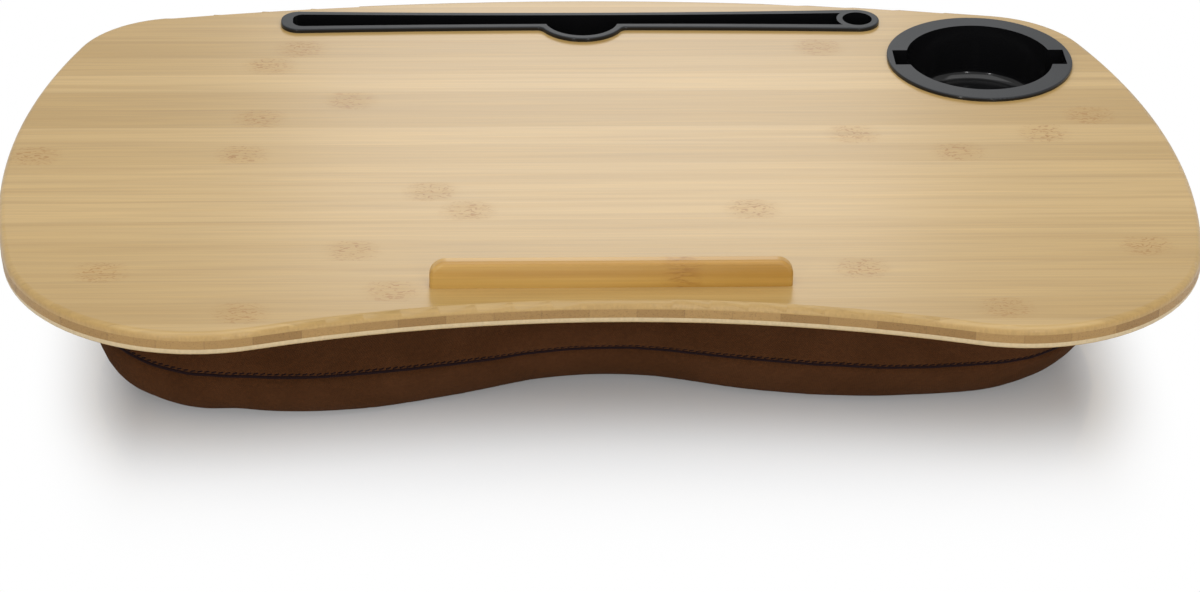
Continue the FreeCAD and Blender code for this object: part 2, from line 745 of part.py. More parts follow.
def make_slot():
    slot = new_body("slot_insert")
    top = "(board_top + slot_flange_height)"
    rim = new_sketch(slot, "Rim", "board_top")
    add_slot_rim(rim)
    pad(slot, rim, "slot_flange_height")
    thumb_rim = new_sketch(slot, "ThumbRim", "board_top")
    add_thumb(thumb_rim, "(thumb_radius + slot_rim)")
    pad(slot, thumb_rim, "slot_flange_height")
    fillet(slot, "thumb_blend_radius", is_thumb_corner)
    rim_top = value(top)
    fillet(slot, "flange_edge_radius", lambda edge: lies_at(edge, rim_top))
    wall_depth = "(board_top - board_base - slot_relief)"
    walls = new_sketch(slot, "Walls", "board_top")
    add_bowed_bar(walls, "slot_left - slot_wall", "pen_x", "slot_width / 2 + slot_wall", "slot_flare")
    pad(slot, walls, wall_depth, downwards=True)
    thumb_wall = new_sketch(slot, "ThumbWall", "board_top")
    add_thumb(thumb_wall, "(thumb_radius + slot_wall)")
    pad(slot, thumb_wall, wall_depth, downwards=True)
    pen_wall = new_sketch(slot, "PenWall", "board_top")
    add_circle(pen_wall, "pen_x", "slot_y", "pen_radius + slot_wall")
    pad(slot, pen_wall, "pen_depth - slot_flange_height + slot_floor", downwards=True)
    slot_depth = f"{wall_depth} + slot_flange_height - slot_floor"
    ring = "(pen_radius + pen_ring)"
    ring_x = f"(pen_x - sqrt({ring} * {ring} - slot_end_half * slot_end_half))"
    channel = new_sketch(slot, "Channel", top)
    end_x = "(slot_left + slot_end_radius)"
    reach = f"({ring_x} - {end_x})"
    side_bow = f"(({reach} * {reach} / 4 + slot_flare * slot_flare) / (2 * slot_flare))"
    add_profile(channel, [
        (end_x, "slot_y - slot_end_half", side_bow, "right"),
        (ring_x, "slot_y - slot_end_half", ring, "right"),
        (ring_x, "slot_y + slot_end_half", side_bow, "right"),
        (end_x, "slot_y + slot_end_half", "slot_end_radius", "left"),
        ("slot_left", "slot_y + slot_end_half - slot_end_radius"),
        ("slot_left", "slot_y - slot_end_half + slot_end_radius", "slot_end_radius", "left"),
    ])
    pocket(slot, channel, slot_depth)
    thumb = new_sketch(slot, "Thumb", top)
    add_thumb(thumb, "thumb_radius")
    pocket(slot, thumb, slot_depth)
    pen = new_sketch(slot, "PenWell", top)
    add_circle(pen, "pen_x", "slot_y", "pen_radius")
    pocket(slot, pen, "pen_depth")
    nodes.append(slot)


# Cushion

LOWER_STEPS = (0, 0.1, 0.32, 0.62, 1)
UPPER_STEPS = (0, 0.4, 0.75, 1)


def lower_levels(bottom, draw_in):
    """Heights and insets from the floor to the seam: a quarter ellipse from the flat underside."""
    levels = []
    for step in LOWER_STEPS:
        height = f"{bottom} + (seam_height - {bottom}) * {step}"
        levels.append((height, f"floor_inset * {1 - math.sqrt(1 - (1 - step) ** 2)} + {draw_in}"))
    return levels


def upper_levels(top, draw_in):
    """Heights and insets from the seam to the top, drawn in towards the top."""
    levels = []
    for step in UPPER_STEPS:
        height = f"seam_height + ({top} - seam_height) * {step}"
        levels.append((height, f"top_inset * {step ** 3} + {draw_in}"))
    return levels


def loft(body, kind, levels):
    sketches = []
    for height, inset in levels:
        sketch = new_sketch(body, "Section", height)
        add_cushion_outline(sketch, inset)
        sketches.append(sketch)
    feature = add_feature(body, kind, sketches[0])
    feature.Sections = sketches[1:]
    doc.recompute()


def make_cover():
    window = make_zip_window()
    band_top = "(cushion_height - cover_thickness)"
    lower = new_body("LowerCover")
    loft(lower, "AdditiveLoft", lower_levels("0", "0"))
    loft(lower, "SubtractiveLoft", lower_levels("cover_thickness", "cover_thickness"))
    upper = new_body("UpperCover")
    loft(upper, "AdditiveLoft", upper_levels(band_top, "0"))
    loft(upper, "SubtractiveLoft", upper_levels(band_top, "cover_thickness"))
    panel = new_body("cover_top_panel")
    outline = new_sketch(panel, "Outline", band_top)
    add_cushion_outline(outline, "top_inset")
    pad(panel, outline, "cover_thickness")
    nodes.append(boolean("cover_lower_shell", "Cut", lower, window))
    nodes.append(boolean("cover_upper_band", "Cut", upper, window))
    nodes.append(panel)


def make_filling():
    side = "(cover_thickness + liner_side_gap)"
    for label, skin, hollow in (
        ("inner_bag", "layer_gap", "liner_thickness"),
        ("bead_fill", "(layer_gap + liner_thickness + layer_gap)", None),
    ):
        body = new_body(label)
        loft(body, "AdditiveLoft", filling_levels(side, skin))
        if hollow:
            loft(body, "SubtractiveLoft", filling_levels(side, f"({skin} + {hollow})"))
        nodes.append(body)


def filling_levels(side, skin):
    """Levels of a closed filling that lies a skin inside the cover, and further in at the sides."""
    draw_in = f"({side} + {skin})"
    base = f"(cover_thickness + {skin})"
    top = f"(cushion_height - cover_thickness - {skin})"
    return lower_levels(base, draw_in) + upper_levels(top, draw_in)[1:]


def make_straps():
    for label, base, thickness in (
        ("loop_strips", "cushion_height", "loop_thickness"),
        ("hook_strips", "cushion_height + loop_thickness", "hook_thickness"),
    ):
        strips = []
        for side in ("-strap_x", "strap_x"):
            for row_y in ("-strap_front_y", "strap_back_y"):
                corner = (f"{side} - strap_length / 2", f"{row_y} - strap_width / 2", base)
                strips.append(add_box("Strap", corner, ("strap_length", "strap_width", thickness)))
        nodes.append(group(label, strips))


# Zip


def place_on_round(body, angle):
    """Stand a body on the axis of the cushion's round back, turned to an angle."""
    turn = Rotation(Vector(0, 0, 1), value(angle))
    body.Placement = Placement(Vector(0, value("round_y"), 0), turn)
    bind(body, "Placement.Base.y", "round_y")
    bind(body, "Placement.Rotation.Angle", angle)


def ring_body(label, bands, start, sweep):
    """Bands (inner radius, outer radius, low, high) swept round the back from a start angle."""
    body = new_body(label)
    section = new_sketch(body, "Section", plane="XZ_Plane")
    for inner, outer, low, high in bands:
        add_rectangle(section, inner, outer, f"seam_height + {low}", f"seam_height + {high}")
    revolve(body, section, sweep)
    place_on_round(body, start)
    return body


def make_zip_window():
    inner = "(round_radius - cover_thickness - liner_side_gap / 2)"
    outer = "(round_radius + cover_thickness)"
    band = (inner, outer, "(0 - window_half_height)", "window_half_height")
    return ring_body("ZipWindow", [band], "(zip_end_angle)", "zip_sweep")


def make_tapes():
    overlap = "((tape_half_width - window_half_height) / chain_middle * 180 / pi)"
    start = f"(zip_end_angle - {overlap})"
    sweep = f"(zip_sweep + 2 * {overlap})"
    for label, low, high in (
        ("zip_tape_lower", "(0 - tape_half_width)", "(0 - tape_edge)"),
        ("zip_tape_upper", "tape_edge", "tape_half_width"),
    ):
        nodes.append(ring_body(label, [("tape_back", "tape_face", low, high)], start, sweep))


def make_teeth():
    """Each row is a bead along the tape's edge with moulded teeth that reach towards the other row."""
    half_bead = "bead_height / 2"
    count = int(value("chain_sweep * pi / 180 * chain_middle / tooth_pitch")) + 1
    for label, bead, tooth in (
        ("zip_teeth_lower", ("(0 - tape_edge)", "(bead_width - tape_edge)"),
         ("(0 - tape_edge)", "(0 - tooth_gap)")),
        ("zip_teeth_upper", ("(tape_edge - bead_width)", "tape_edge"), ("tooth_gap", "tape_edge")),
    ):
        band = (f"(chain_middle - {half_bead})", f"(chain_middle + {half_bead})") + bead
        row_body = ring_body(label, [band], "chain_start", "chain_sweep")
        profile = new_sketch(row_body, "Tooth", plane="XZ_Plane")
        add_rectangle(profile, "tooth_back", "tooth_face",
                      f"seam_height + {tooth[0]}", f"seam_height + {tooth[1]}")
        pad(row_body, profile, "tooth_width", both_ways=True)
        tooth_pad = row_body.Tip
        pattern = row_body.newObject("PartDesign::PolarPattern", "TeethPattern")
        pattern.Originals = [tooth_pad]
        pattern.Axis = (origin_feature(row_body, "Z_Axis"), [""])
        bind(pattern, "Angle", "chain_sweep")
        pattern.Occurrences = count
        row_body.Tip = pattern
        doc.recompute()
        nodes.append(row_body)


def make_stops():
    closed_end = ring_body("ClosedStops", [
        ("tooth_back", "tooth_face", "tooth_gap", "tape_edge"),
        ("tooth_back", "tooth_face", "(0 - tape_edge)", "(0 - tooth_gap)"),
    ], "(zip_start_angle - stop_sweep)", "stop_sweep")
    open_end = ring_body("OpenStop", [("tooth_back", "tooth_face", "(0 - tape_edge)", "tape_edge")],
                         "(zip_end_angle)", "stop_sweep")
    nodes.append(group("zip_stops", [closed_end, open_end]))



def make_slider():
    slider = new_body("zip_slider")
    half = "slider_half_width"
    inside = "(slider_half_width - slider_flange)"
    low = f"seam_height - {half}"
    high = f"seam_height + {half}"
    plates = (
        ("FrontPlate", "plate_out", "plate_in", "(tape_face + slider_clearance)"),
        ("BackPlate", "back_in", "back_out", "(tape_back - slider_clearance)"),
    )
    for name, outside, channel, lip in plates:
        plate = new_sketch(slider, name, plane="XZ_Plane")
        add_profile(plate, [
            (outside, low), (outside, high), (lip, high), (lip, f"seam_height + {inside}"),
            (channel, f"seam_height + {inside}"), (channel, f"seam_height - {inside}"),
            (lip, f"seam_height - {inside}"), (lip, low),
        ])
        pad(slider, plate, "slider_length", both_ways=True)
    length = value("slider_length / 2")
    fillet(slider, "slider_corner_radius", lambda edge: is_slider_corner(edge, length))
    neck = new_sketch(slider, "Neck", "seam_height - slider_neck_thickness / 2")
    add_rectangle(neck, "back_out - slider_plate / 2", "plate_in + slider_plate / 2",
                  "slider_length / 2 - slider_neck_length - slider_plate", "slider_length / 2 - slider_plate")
    pad(slider, neck, "slider_neck_thickness")
    bar = new_sketch(slider, "BridgeBar", plane="XZ_Plane")
    add_circle(bar, "loop_x", "seam_height", "bridge_bar / 2")
    pad(slider, bar, "bridge_length", both_ways=True)
    for name, near, far in (
        ("BridgeFront", "bridge_length / 2 - bridge_bar", "bridge_length / 2"),
        ("BridgeRear", "0 - bridge_length / 2", "bridge_bar - bridge_length / 2"),
    ):
        post = new_sketch(slider, name, "seam_height - bridge_bar / 2")
        add_rectangle(post, "plate_out - slider_plate / 2", "loop_x + bridge_bar / 2", near, far)
        pad(slider, post, "bridge_bar")
    place_on_round(slider, "slider_angle")
    nodes.append(slider)


def is_slider_corner(edge, half_length):
    """The four outer corners of each slider plate, which run through the plate."""
    box = edge.BoundBox
    at_end = abs(abs(box.YMin) - half_length) < 1e-4 and box.YLength < 1e-4
    at_side = abs(abs(box.ZMin - value("seam_height")) - value("slider_half_width")) < 1e-4
    return at_end and at_side and box.ZLength < 1e-4


def make_loop():
    loop = new_body("zip_loop")
    path = new_sketch(loop, "Path", plane="XZ_Plane")
    right = "(loop_x + loop_bend)"
    left = "(loop_x - loop_bend)"
    add_profile(path, [
        (right, "loop_top", "loop_bend", "left"),
        ("loop_x", "loop_top + loop_bend", "loop_bend", "left"),
        (left, "loop_top"),
        (left, "loop_low", "loop_bend", "left"),
        ("loop_x", "loop_low - loop_bend", "loop_bend", "left"),
        (right, "loop_low"),
    ])
    wire = new_sketch(loop, "Wire", "loop_top")
    add_circle(wire, right, "0", "wire_radius")
    pipe = loop.newObject("PartDesign::AdditivePipe", "Loop")
    pipe.Profile = wire
    pipe.Spine = (path, [])
    doc.recompute()
    place_on_round(loop, "slider_angle")
    nodes.append(loop)


def add_leaf(sketch):
    """The pull's outline: a round head about its hole, full sides and a smaller round tip."""
    side = "pull_side_radius"
    to_head = "(pull_side_radius - pull_head_radius)"
    to_tip = "(pull_side_radius - pull_tip_radius)"
    drop = (f"((leaf_length * leaf_length + {to_head} * {to_head} - {to_tip} * {to_tip})"
            " / (2 * leaf_length))")
    away = f"sqrt({to_head} * {to_head} - {drop} * {drop})"
    head_x = f"(pull_head_radius * {away} / {to_head})"
    head_z = f"(pull_z + pull_head_radius * {drop} / {to_head})"
    tip_z = "(pull_z - leaf_length)"
    side_x = f"(pull_tip_radius * {away} / {to_tip})"
    side_z = f"({tip_z} - pull_tip_radius * (leaf_length - {drop}) / {to_tip})"
    add_profile(sketch, [
        (side_x, side_z, side, "left"),
        (head_x, head_z, "pull_head_radius", "left"),
        ("0", "pull_z + pull_head_radius", "pull_head_radius", "left"),
        (f"0 - {head_x}", head_z, side, "left"),
        (f"0 - {side_x}", side_z, "pull_tip_radius", "left"),
        ("0", f"{tip_z} - pull_tip_radius", "pull_tip_radius", "left"),
    ])


def make_pull():
    pull = new_body("zip_pull")
    leaf = new_sketch(pull, "Leaf", "loop_x - pull_thickness / 2", "YZ_Plane")
    add_leaf(leaf)
    pad(pull, leaf, "pull_thickness")
    fillet(pull, "pull_edge_radius", lambda edge: edge.BoundBox.XLength < 1e-4)
    hole = new_sketch(pull, "Hole", "loop_x + pull_thickness / 2", "YZ_Plane")
    add_circle(hole, "0", "pull_z", "pull_hole_radius")
    pocket(pull, hole, "pull_thickness")
    place_on_round(pull, "slider_angle")
    nodes.append(pull)


make_board()
make_ledge()
make_screws()
make_cup()
make_slot()
make_cover()
make_filling()
make_straps()
make_tapes()
make_teeth()
make_stops()
make_slider()
make_loop()
make_pull()
doc.recompute()

for item in doc.Objects:
    if {"Invalid", "Error"} & set(item.State):
        raise ValueError(f"{item.Label} failed: {item.State}")
for node in nodes:
    if node.Shape.isNull() or not node.Shape.isValid():
        raise ValueError(f"{node.Label} has no valid shape")

os.makedirs("parts", exist_ok=True)
for node in nodes:
    node.Shape.exportStep(f"parts/{node.Label}.step")
    print(node.Label, len(node.Shape.Solids), round(node.Shape.Volume, 1))
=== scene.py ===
# %% [markdown]
# # A bamboo lap tray on a bead cushion
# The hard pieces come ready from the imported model: the three layers of the board, the stop ledge,
# the plastic inserts and the metal of the zip. They could be modelled again here, but then two
# models would have to agree, so they stay as they are and only get their finishes.
# The soft pieces are modelled in this lesson, because their shape comes from sewing and filling.

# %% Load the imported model
import math

import bpy
from mathutils import Matrix, Vector, noise


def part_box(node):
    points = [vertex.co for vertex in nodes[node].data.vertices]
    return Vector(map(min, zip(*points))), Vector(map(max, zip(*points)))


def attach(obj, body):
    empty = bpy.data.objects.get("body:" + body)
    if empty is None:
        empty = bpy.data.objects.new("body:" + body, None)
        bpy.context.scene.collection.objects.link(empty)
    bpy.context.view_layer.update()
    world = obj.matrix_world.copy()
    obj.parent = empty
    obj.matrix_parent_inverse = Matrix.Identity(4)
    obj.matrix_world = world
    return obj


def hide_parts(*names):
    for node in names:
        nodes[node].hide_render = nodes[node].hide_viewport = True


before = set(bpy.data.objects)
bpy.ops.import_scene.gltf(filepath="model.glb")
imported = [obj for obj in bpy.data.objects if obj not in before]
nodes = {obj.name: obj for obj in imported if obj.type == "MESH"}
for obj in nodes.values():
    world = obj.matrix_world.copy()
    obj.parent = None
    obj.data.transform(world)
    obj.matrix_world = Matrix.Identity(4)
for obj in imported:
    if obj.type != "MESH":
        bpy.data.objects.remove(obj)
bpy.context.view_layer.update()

# %% [markdown]
# ## The camera
# The photograph was taken from a little left of the middle, from above, with a long lens, which keeps
# the board's far edge nearly as wide as its near edge. A short lens close by would spread the corners.
# The camera's axes are worked out from its pitch, yaw and roll, so each number can be set alone.

# %% Set up the camera
CAMERA_SPOT, LENS_MM = (-0.1256, -1.9537, 1.0753), 129.3
pitch, yaw, roll = (math.radians(angle) for angle in (29.04, 3.79, 1.46))
ahead = Vector((math.sin(yaw) * math.cos(pitch), math.cos(yaw) * math.cos(pitch), -math.sin(pitch)))
level = Vector((math.cos(yaw), -math.sin(yaw), 0))
upward = level.cross(ahead)
across = level * math.cos(roll) + upward * math.sin(roll)
overhead = upward * math.cos(roll) - level * math.sin(roll)
bpy.ops.object.select_all(action="DESELECT")
bpy.ops.object.camera_add()
camera = bpy.context.active_object
camera.data.lens = LENS_MM
camera.matrix_world = Matrix((across, overhead, -ahead)).transposed().to_4x4()
camera.location = CAMERA_SPOT
bpy.context.scene.camera = camera
print("camera looks along", tuple(round(part, 3) for part in ahead))

# %% [markdown]
# ## Writing shader sums as Python
# A finish is a network of nodes, and most of them are arithmetic. They could be wired one by one,
# but then a simple sum takes six lines. This small class wraps one socket, so that
# 1 - mask * 0.3 adds the Math nodes by itself, and any other node comes from one method.

# %% A socket with arithmetic
class Wire:
    """A socket in a material's node tree, on which sums are written as Python expressions."""

    def __init__(self, tree, socket=None):
        self.tree, self.socket = tree, socket

    def node(self, kind, settings, sockets, output=0):
        """Add a node: its settings first, then the values or links of its sockets."""
        node = self.tree.nodes.new(f"ShaderNode{kind}")
        for name, setting in settings.items():
            setattr(node, name, setting)
        for key, given in sockets.items():
            if isinstance(given, Wire):
                self.tree.links.new(given.socket, node.inputs[key])
            else:
                node.inputs[key].default_value = given
        return Wire(self.tree, node.outputs[output])

    def math(self, operation, *others):
        return self.node("Math", {"operation": operation}, dict(enumerate((self, *others))))

    def reflected(self, operation, other):
        return self.node("Math", {"operation": operation}, {0: other, 1: self})

    def __add__(self, other):
        return self.math("ADD", other)

    def __sub__(self, other):
        return self.math("SUBTRACT", other)

    def __rsub__(self, other):
        return self.reflected("SUBTRACT", other)

    def __mul__(self, other):
        return self.math("MULTIPLY", other)

    def __truediv__(self, other):
        return self.math("DIVIDE", other)

    def __rtruediv__(self, other):
        return self.reflected("DIVIDE", other)

    __radd__ = __add__
    __rmul__ = __mul__


print("sums on sockets are ready")

# %% Helpers for finishes
def new_finish(name, constants):
    """A material with constant sockets set; its shader and a bare wire to build from."""
    material = bpy.data.materials.new(name)
    material.use_nodes = True
    shader = material.node_tree.nodes["Principled BSDF"]
    for socket, number in constants.items():
        shader.inputs[socket].default_value = number
    return material, shader, Wire(material.node_tree)


def feed(shader, **wires):
    """Link wires to the shader; an underscore in a name stands for the space in the socket's."""
    for name, wire in wires.items():
        wire.tree.links.new(wire.socket, shader.inputs[name.replace("_", " ")])


def place(start):
    """The point on the object, in metres."""
    return start.node("TexCoord", {}, {}, "Object")


def split(start, vector):
    """The X, Y and Z of a vector as three wires."""
    return [start.node("SeparateXYZ", {}, {0: vector}, axis) for axis in range(3)]


def facing_up(start):
    """1 on level faces and 0 on upright ones."""
    normal = start.node("TexCoord", {}, {}, "Normal")
    return split(start, normal)[2].math("ABSOLUTE")


def speckle(start, point, scale, detail=2):
    """Soft noise from 0 to 1 that is alike in all directions."""
    return start.node("TexNoise", {}, {"Vector": point, "Scale": scale, "Detail": detail})


def cloud(start, x, y, z, detail=2):
    """Soft noise from 0 to 1; the three inputs carry its scale."""
    return speckle(start, start.node("CombineXYZ", {}, {0: x, 1: y, 2: z}), 1, detail)


def band(start, wire, low, high):
    """0 at low, 1 at high, and a smooth step between; low may be the larger one."""
    return start.node("MapRange", {"interpolation_type": "SMOOTHSTEP"}, {0: wire, 1: low, 2: high})


def ripple(wire, pitch):
    """A sine from -1 to 1 along a wire, with its pitch in metres."""
    return (wire * (2 * math.pi / pitch)).math("SINE")


def blend(start, share, first, second):
    """Mix two colours, each a wire or three numbers."""
    first, second = (part if isinstance(part, Wire) else (*part, 1) for part in (first, second))
    return start.node("Mix", {"data_type": "RGBA"}, {0: share, 6: first, 7: second}, 2)


def shade(start, colour, factor):
    """Make a colour, a wire or three numbers, darker or lighter by a factor."""
    grey = start.node("CombineXYZ", {}, {0: factor, 1: factor, 2: factor})
    return start.node("VectorMath", {"operation": "MULTIPLY"}, {0: colour, 1: grey})


def relief(start, height, depth):
    """A bump of the given depth in metres."""
    return start.node("Bump", {}, {"Strength": 1, "Distance": depth, "Height": height})


def wear(node_names, material):
    """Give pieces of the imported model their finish."""
    for name in node_names:
        nodes[name].data.materials.clear()
        nodes[name].data.materials.append(material)


print("finish helpers are ready")

# %% [markdown]
# ## Bamboo of the two faces
# Each face of the board is a ply of flat bamboo strips about 20 mm wide that run the long way. Every
# strip is a cane of its own: its tone differs from its neighbour's, fibres draw fine lines along it,
# and here and there it shows a knuckle, where the cane had a joint and the fibres swirl. One stretched
# noise would give wood without strips, so the strip's number shifts the noise and picks the tone.

# %% Bamboo faces
STRIP_PITCH, SWIRL_PITCH = 0.0205, 0.0029
PALE_CANE, DEEP_CANE, STREAK_CANE = (0.565, 0.38, 0.15), (0.43, 0.27, 0.083), (0.405, 0.25, 0.076)
KNUCKLE_BROWN = (0.36, 0.178, 0.038)
TOP_RIM, UNDER_RIM = (0.455, 0.285, 0.098), (0.60, 0.455, 0.255)
# Where the knuckles are, in mm to the right and to the back, and one over their reach: in metres
# along the strip, in strips, so that each stays on its own, and in metres across the strip.
KNUCKLES = ((-167, 96), (-125, 56), (-172, 34), (-285, 10), (-125, -95), (-246, -115), (-178, -163),
            (-106, -137), (-85, -31), (-67, -52), (75, -71), (123, -113), (188, -159), (267, -96),
            (186, -9), (233, 30), (134, 11), (-151, 115), (-180, -7), (126, 127), (260, 49))
KNUCKLE_SCALE = (58, 50, 62)


def strips(start, across, pitch, inner):
    """The number of the strip at a point, and a mask that is 1 in the joint between two strips."""
    count = across / pitch + 0.5
    edge = (count.math("FRACT") - 0.5).math("ABSOLUTE")
    return count.math("FLOOR"), 1 - band(start, edge, 0.5, inner)


def knuckle_mask(start, x, row, side):
    """1 in the middle of a knuckle, fading to 0 about 17 mm along its strip; side is across it."""
    spot = start.node("CombineXYZ", {}, {0: x, 1: row, 2: side})
    mask = 0
    for right, back in KNUCKLES:
        middle = (right / 1000, round(back / 1000 / STRIP_PITCH), 0)
        away = start.node("VectorMath", {"operation": "SUBTRACT"}, {0: spot, 1: middle})
        away = start.node("VectorMath", {"operation": "MULTIPLY"}, {0: away, 1: KNUCKLE_SCALE})
        near = 1 - start.node("VectorMath", {"operation": "LENGTH"}, {0: away}, 1)
        mask = near.math("MAXIMUM", mask)
    return band(start, mask, 0, 0.75)


def bamboo_face(name, rim_colour):
    """Strips along X with tones, fibres and knuckles; the rim shows cut ends."""
    material, shader, start = new_finish(name, {"Coat Roughness": 0.22, "Specular IOR Level": 0.4})
    x, y, z = split(start, place(start))
    row, joint = strips(start, y, STRIP_PITCH, 0.47)
    tone = start.node("TexWhiteNoise", {"noise_dimensions": "1D"}, {"W": row})
    fibre = cloud(start, x * 13 + row * 3.7, y * 600, z * 600, 4)
    streak = cloud(start, x * 4 + row * 7.3, y * 170, z * 170)
    drift = cloud(start, x * 7 + row * 1.9, y * 30, 0.5)
    swirl = y + cloud(start, x * 140, y * 190, row * 5.5) * 0.015
    ticks = band(start, ripple(swirl, SWIRL_PITCH), 0.1, 0.8)
    ticks = ticks * band(start, cloud(start, x * 240, y * 420, row * 2.5, 3), 0.4, 0.55)
    knuckle = knuckle_mask(start, x, row, y - row * STRIP_PITCH)
    colour = blend(start, tone * 0.8 + drift * 0.2, PALE_CANE, DEEP_CANE)
    colour = blend(start, band(start, streak, 0.42, 0.75) * 0.5, colour, STREAK_CANE)
    colour = blend(start, knuckle * (0.1 + ticks * 0.78), colour, KNUCKLE_BROWN)
    colour = shade(start, colour, 0.8 + fibre * 0.4 - joint * 0.06)
    rim = 1 - band(start, facing_up(start), 0.35, 0.8)
    ends = shade(start, rim_colour, 0.82 + cloud(start, x * 700, y * 700, z * 260) * 0.36)
    feed(shader, Base_Color=blend(start, rim, colour, ends),
         Roughness=0.36 + fibre * 0.1 + knuckle * 0.08,
         Coat_Weight=0.36 - rim * 0.22,
         Normal=relief(start, fibre + ticks * knuckle, 0.00003))
    return material


wear(["top_ply"], bamboo_face("bamboo_face_top", TOP_RIM))
wear(["bottom_ply"], bamboo_face("bamboo_face_under", UNDER_RIM))
print("bamboo faces with", len(KNUCKLES), "knuckles")

# %% [markdown]
# ## Bamboo of the core
# Between the faces lie strips that run front to back, so the rim shows their cut ends as blocks
# about 23 mm long, some from darker, steamed cane. The ends are full of tiny fibre dots. The blocks
# could be separate pieces with a material each, but one finish that knows the strip's number is enough.

# %% Bamboo core
CORE_PITCH = 0.0229
DARK_STRIPS, WARM_STRIPS = (-7, -4, 4, 6, 7, 11), (-11, -5, -2, -1, 1, 5, 9)
PALE_END, STEAMED_END = (0.385, 0.222, 0.066), (0.285, 0.152, 0.037)


def bamboo_core():
    """Strips along Y; each has its own tone, and the named ones are darker."""
    material, shader, start = new_finish("bamboo_core", {"Coat Roughness": 0.3, "Coat Weight": 0.12})
    x, y, z = split(start, place(start))
    column, joint = strips(start, x, CORE_PITCH, 0.475)
    tone = start.node("TexWhiteNoise", {"noise_dimensions": "1D"}, {"W": column + 0.4}) * 0.25
    for numbers, depth in ((DARK_STRIPS, 0.85), (WARM_STRIPS, 0.4)):
        for number in numbers:
            tone = (1 - (column - number).math("ABSOLUTE")).math("MAXIMUM", 0) * depth + tone
    dots = band(start, cloud(start, x * 1500, y * 60, z * 1500), 0.52, 0.7)
    fibre = cloud(start, x * 500 + column * 3.1, y * 6, z * 500, 3)
    colour = blend(start, tone.math("MINIMUM", 1), PALE_END, STEAMED_END)
    feed(shader, Base_Color=shade(start, colour, 0.9 + fibre * 0.2 - dots * 0.2 - joint * 0.14),
         Roughness=0.5 + dots * 0.15,
         Normal=relief(start, fibre - dots, 0.00005))
    return material


wear(["core_strips"], bamboo_core())
print("core with", len(DARK_STRIPS), "dark strips")

# %% [markdown]
# ## Bamboo of the stop ledge
# The ledge is one solid bar of darker, honey coloured cane, which shows long fibres and one knuckle
# right of its middle, and its right half is a little deeper in colour. It could share the faces'
# finish, but those strips would cut across it, so it has its own grain and no strips.

# %% Stop ledge
LEDGE_PALE, LEDGE_STREAK = (0.575, 0.345, 0.085), (0.46, 0.245, 0.046)
LEDGE_RIGHT, LEDGE_BROWN = (0.42, 0.205, 0.014), (0.34, 0.152, 0.018)
LEDGE_KNUCKLE_X = 0.034


def bamboo_ledge():
    """Long fibres, a deeper right half and one knuckle."""
    material, shader, start = new_finish("bamboo_ledge", {"Coat Roughness": 0.25, "Coat Weight": 0.3})
    x, y, z = split(start, place(start))
    fibre = cloud(start, x * 6, y * 800, z * 800, 3)
    streak = band(start, cloud(start, x * 3 + 9, y * 210, z * 210), 0.4, 0.72)
    knuckle = (1 - ((x - LEDGE_KNUCKLE_X) * 90).math("ABSOLUTE")).math("MAXIMUM", 0)
    flecks = band(start, cloud(start, x * 170, y * 640, z * 640, 3), 0.44, 0.62)
    colour = blend(start, streak, LEDGE_PALE, LEDGE_STREAK)
    colour = blend(start, band(start, x, -0.03, 0.07) * 0.5, colour, LEDGE_RIGHT)
    colour = blend(start, knuckle * (0.2 + flecks * 0.7), colour, LEDGE_BROWN)
    feed(shader, Base_Color=shade(start, colour, 0.84 + fibre * 0.32),
         Roughness=0.36 + fibre * 0.12,
         Normal=relief(start, fibre + flecks * knuckle * 2, 0.00004))
    return material


wear(["device_ledge"], bamboo_ledge())
print("ledge with one knuckle")

# %% [markdown]
# ## Black plastic of the inserts
# The slot and the cup well are moulded in black plastic. Their flat rims have a fine satin texture that
# looks dark grey in the light, and their colour is also painted a paler, bluer grey as a painted sheen,
# while the walls inside are smooth and nearly black, with bright spots at their foot. Two materials
# would need the faces sorted by hand, so one finish covers both: the height above the board tells the
# rim from the walls.

# %% Moulded plastic
RIM_FROM, RIM_TO = 0.0722, 0.0732
# The rim's grey is the same black plastic painted paler and bluer: a painted sheen.
WALL_BLACK, RIM_SHEEN_GREY = (0.006, 0.006, 0.0065), (0.0085, 0.0105, 0.013)


def black_plastic():
    """Smooth black walls under a satin rim, which starts at a height of its own; the rim's paler, bluer
    grey is painted sheen.
    """
    material, shader, start = new_finish("black_plastic", {"Specular IOR Level": 0.36})
    point = place(start)
    height = split(start, point)[2]
    rim = band(start, height, RIM_FROM, RIM_TO) * band(start, facing_up(start), 0.5, 0.9)
    grain, smudge = speckle(start, point, 2600), speckle(start, point, 38, 3)
    # On the level rim the colour is painted paler and bluer, a painted sheen over the real satin
    # texture.
    feed(shader, Base_Color=blend(start, rim, WALL_BLACK, RIM_SHEEN_GREY),
         Roughness=0.1 + smudge * 0.05 + rim * (0.29 + grain * 0.08),
         Normal=relief(start, grain * (0.15 + rim), 0.000025))
    return material


wear(["slot_insert", "cup_insert"], black_plastic())
print("inserts are black plastic")

# %% [markdown]
# ## Metal of the zip and the screws
# The zip's slider, loop and pull are die-cast and nickel plated: bright, a little cloudy, with fine
# scratches from use. The screws are zinc plated and greyer. Plain metal would look like chrome, so
# noise varies its roughness and a second, stretched noise draws the scratches.

# %% Plated metal
def plated_metal(name, colour, roughness):
    """Cloudy metal with fine level scratches."""
    material, shader, start = new_finish(name, {"Metallic": 1})
    point = place(start)
    x, y, z = split(start, point)
    cloudy = speckle(start, point, 420, 3)
    scratch = band(start, cloud(start, x * 900, y * 900, z * 9000), 0.6, 0.72)
    feed(shader, Base_Color=shade(start, colour, 0.86 + cloudy * 0.24),
         Roughness=roughness + cloudy * 0.16 + scratch * 0.12,
         Normal=relief(start, cloudy - scratch * 0.5, 0.00002))
    return material


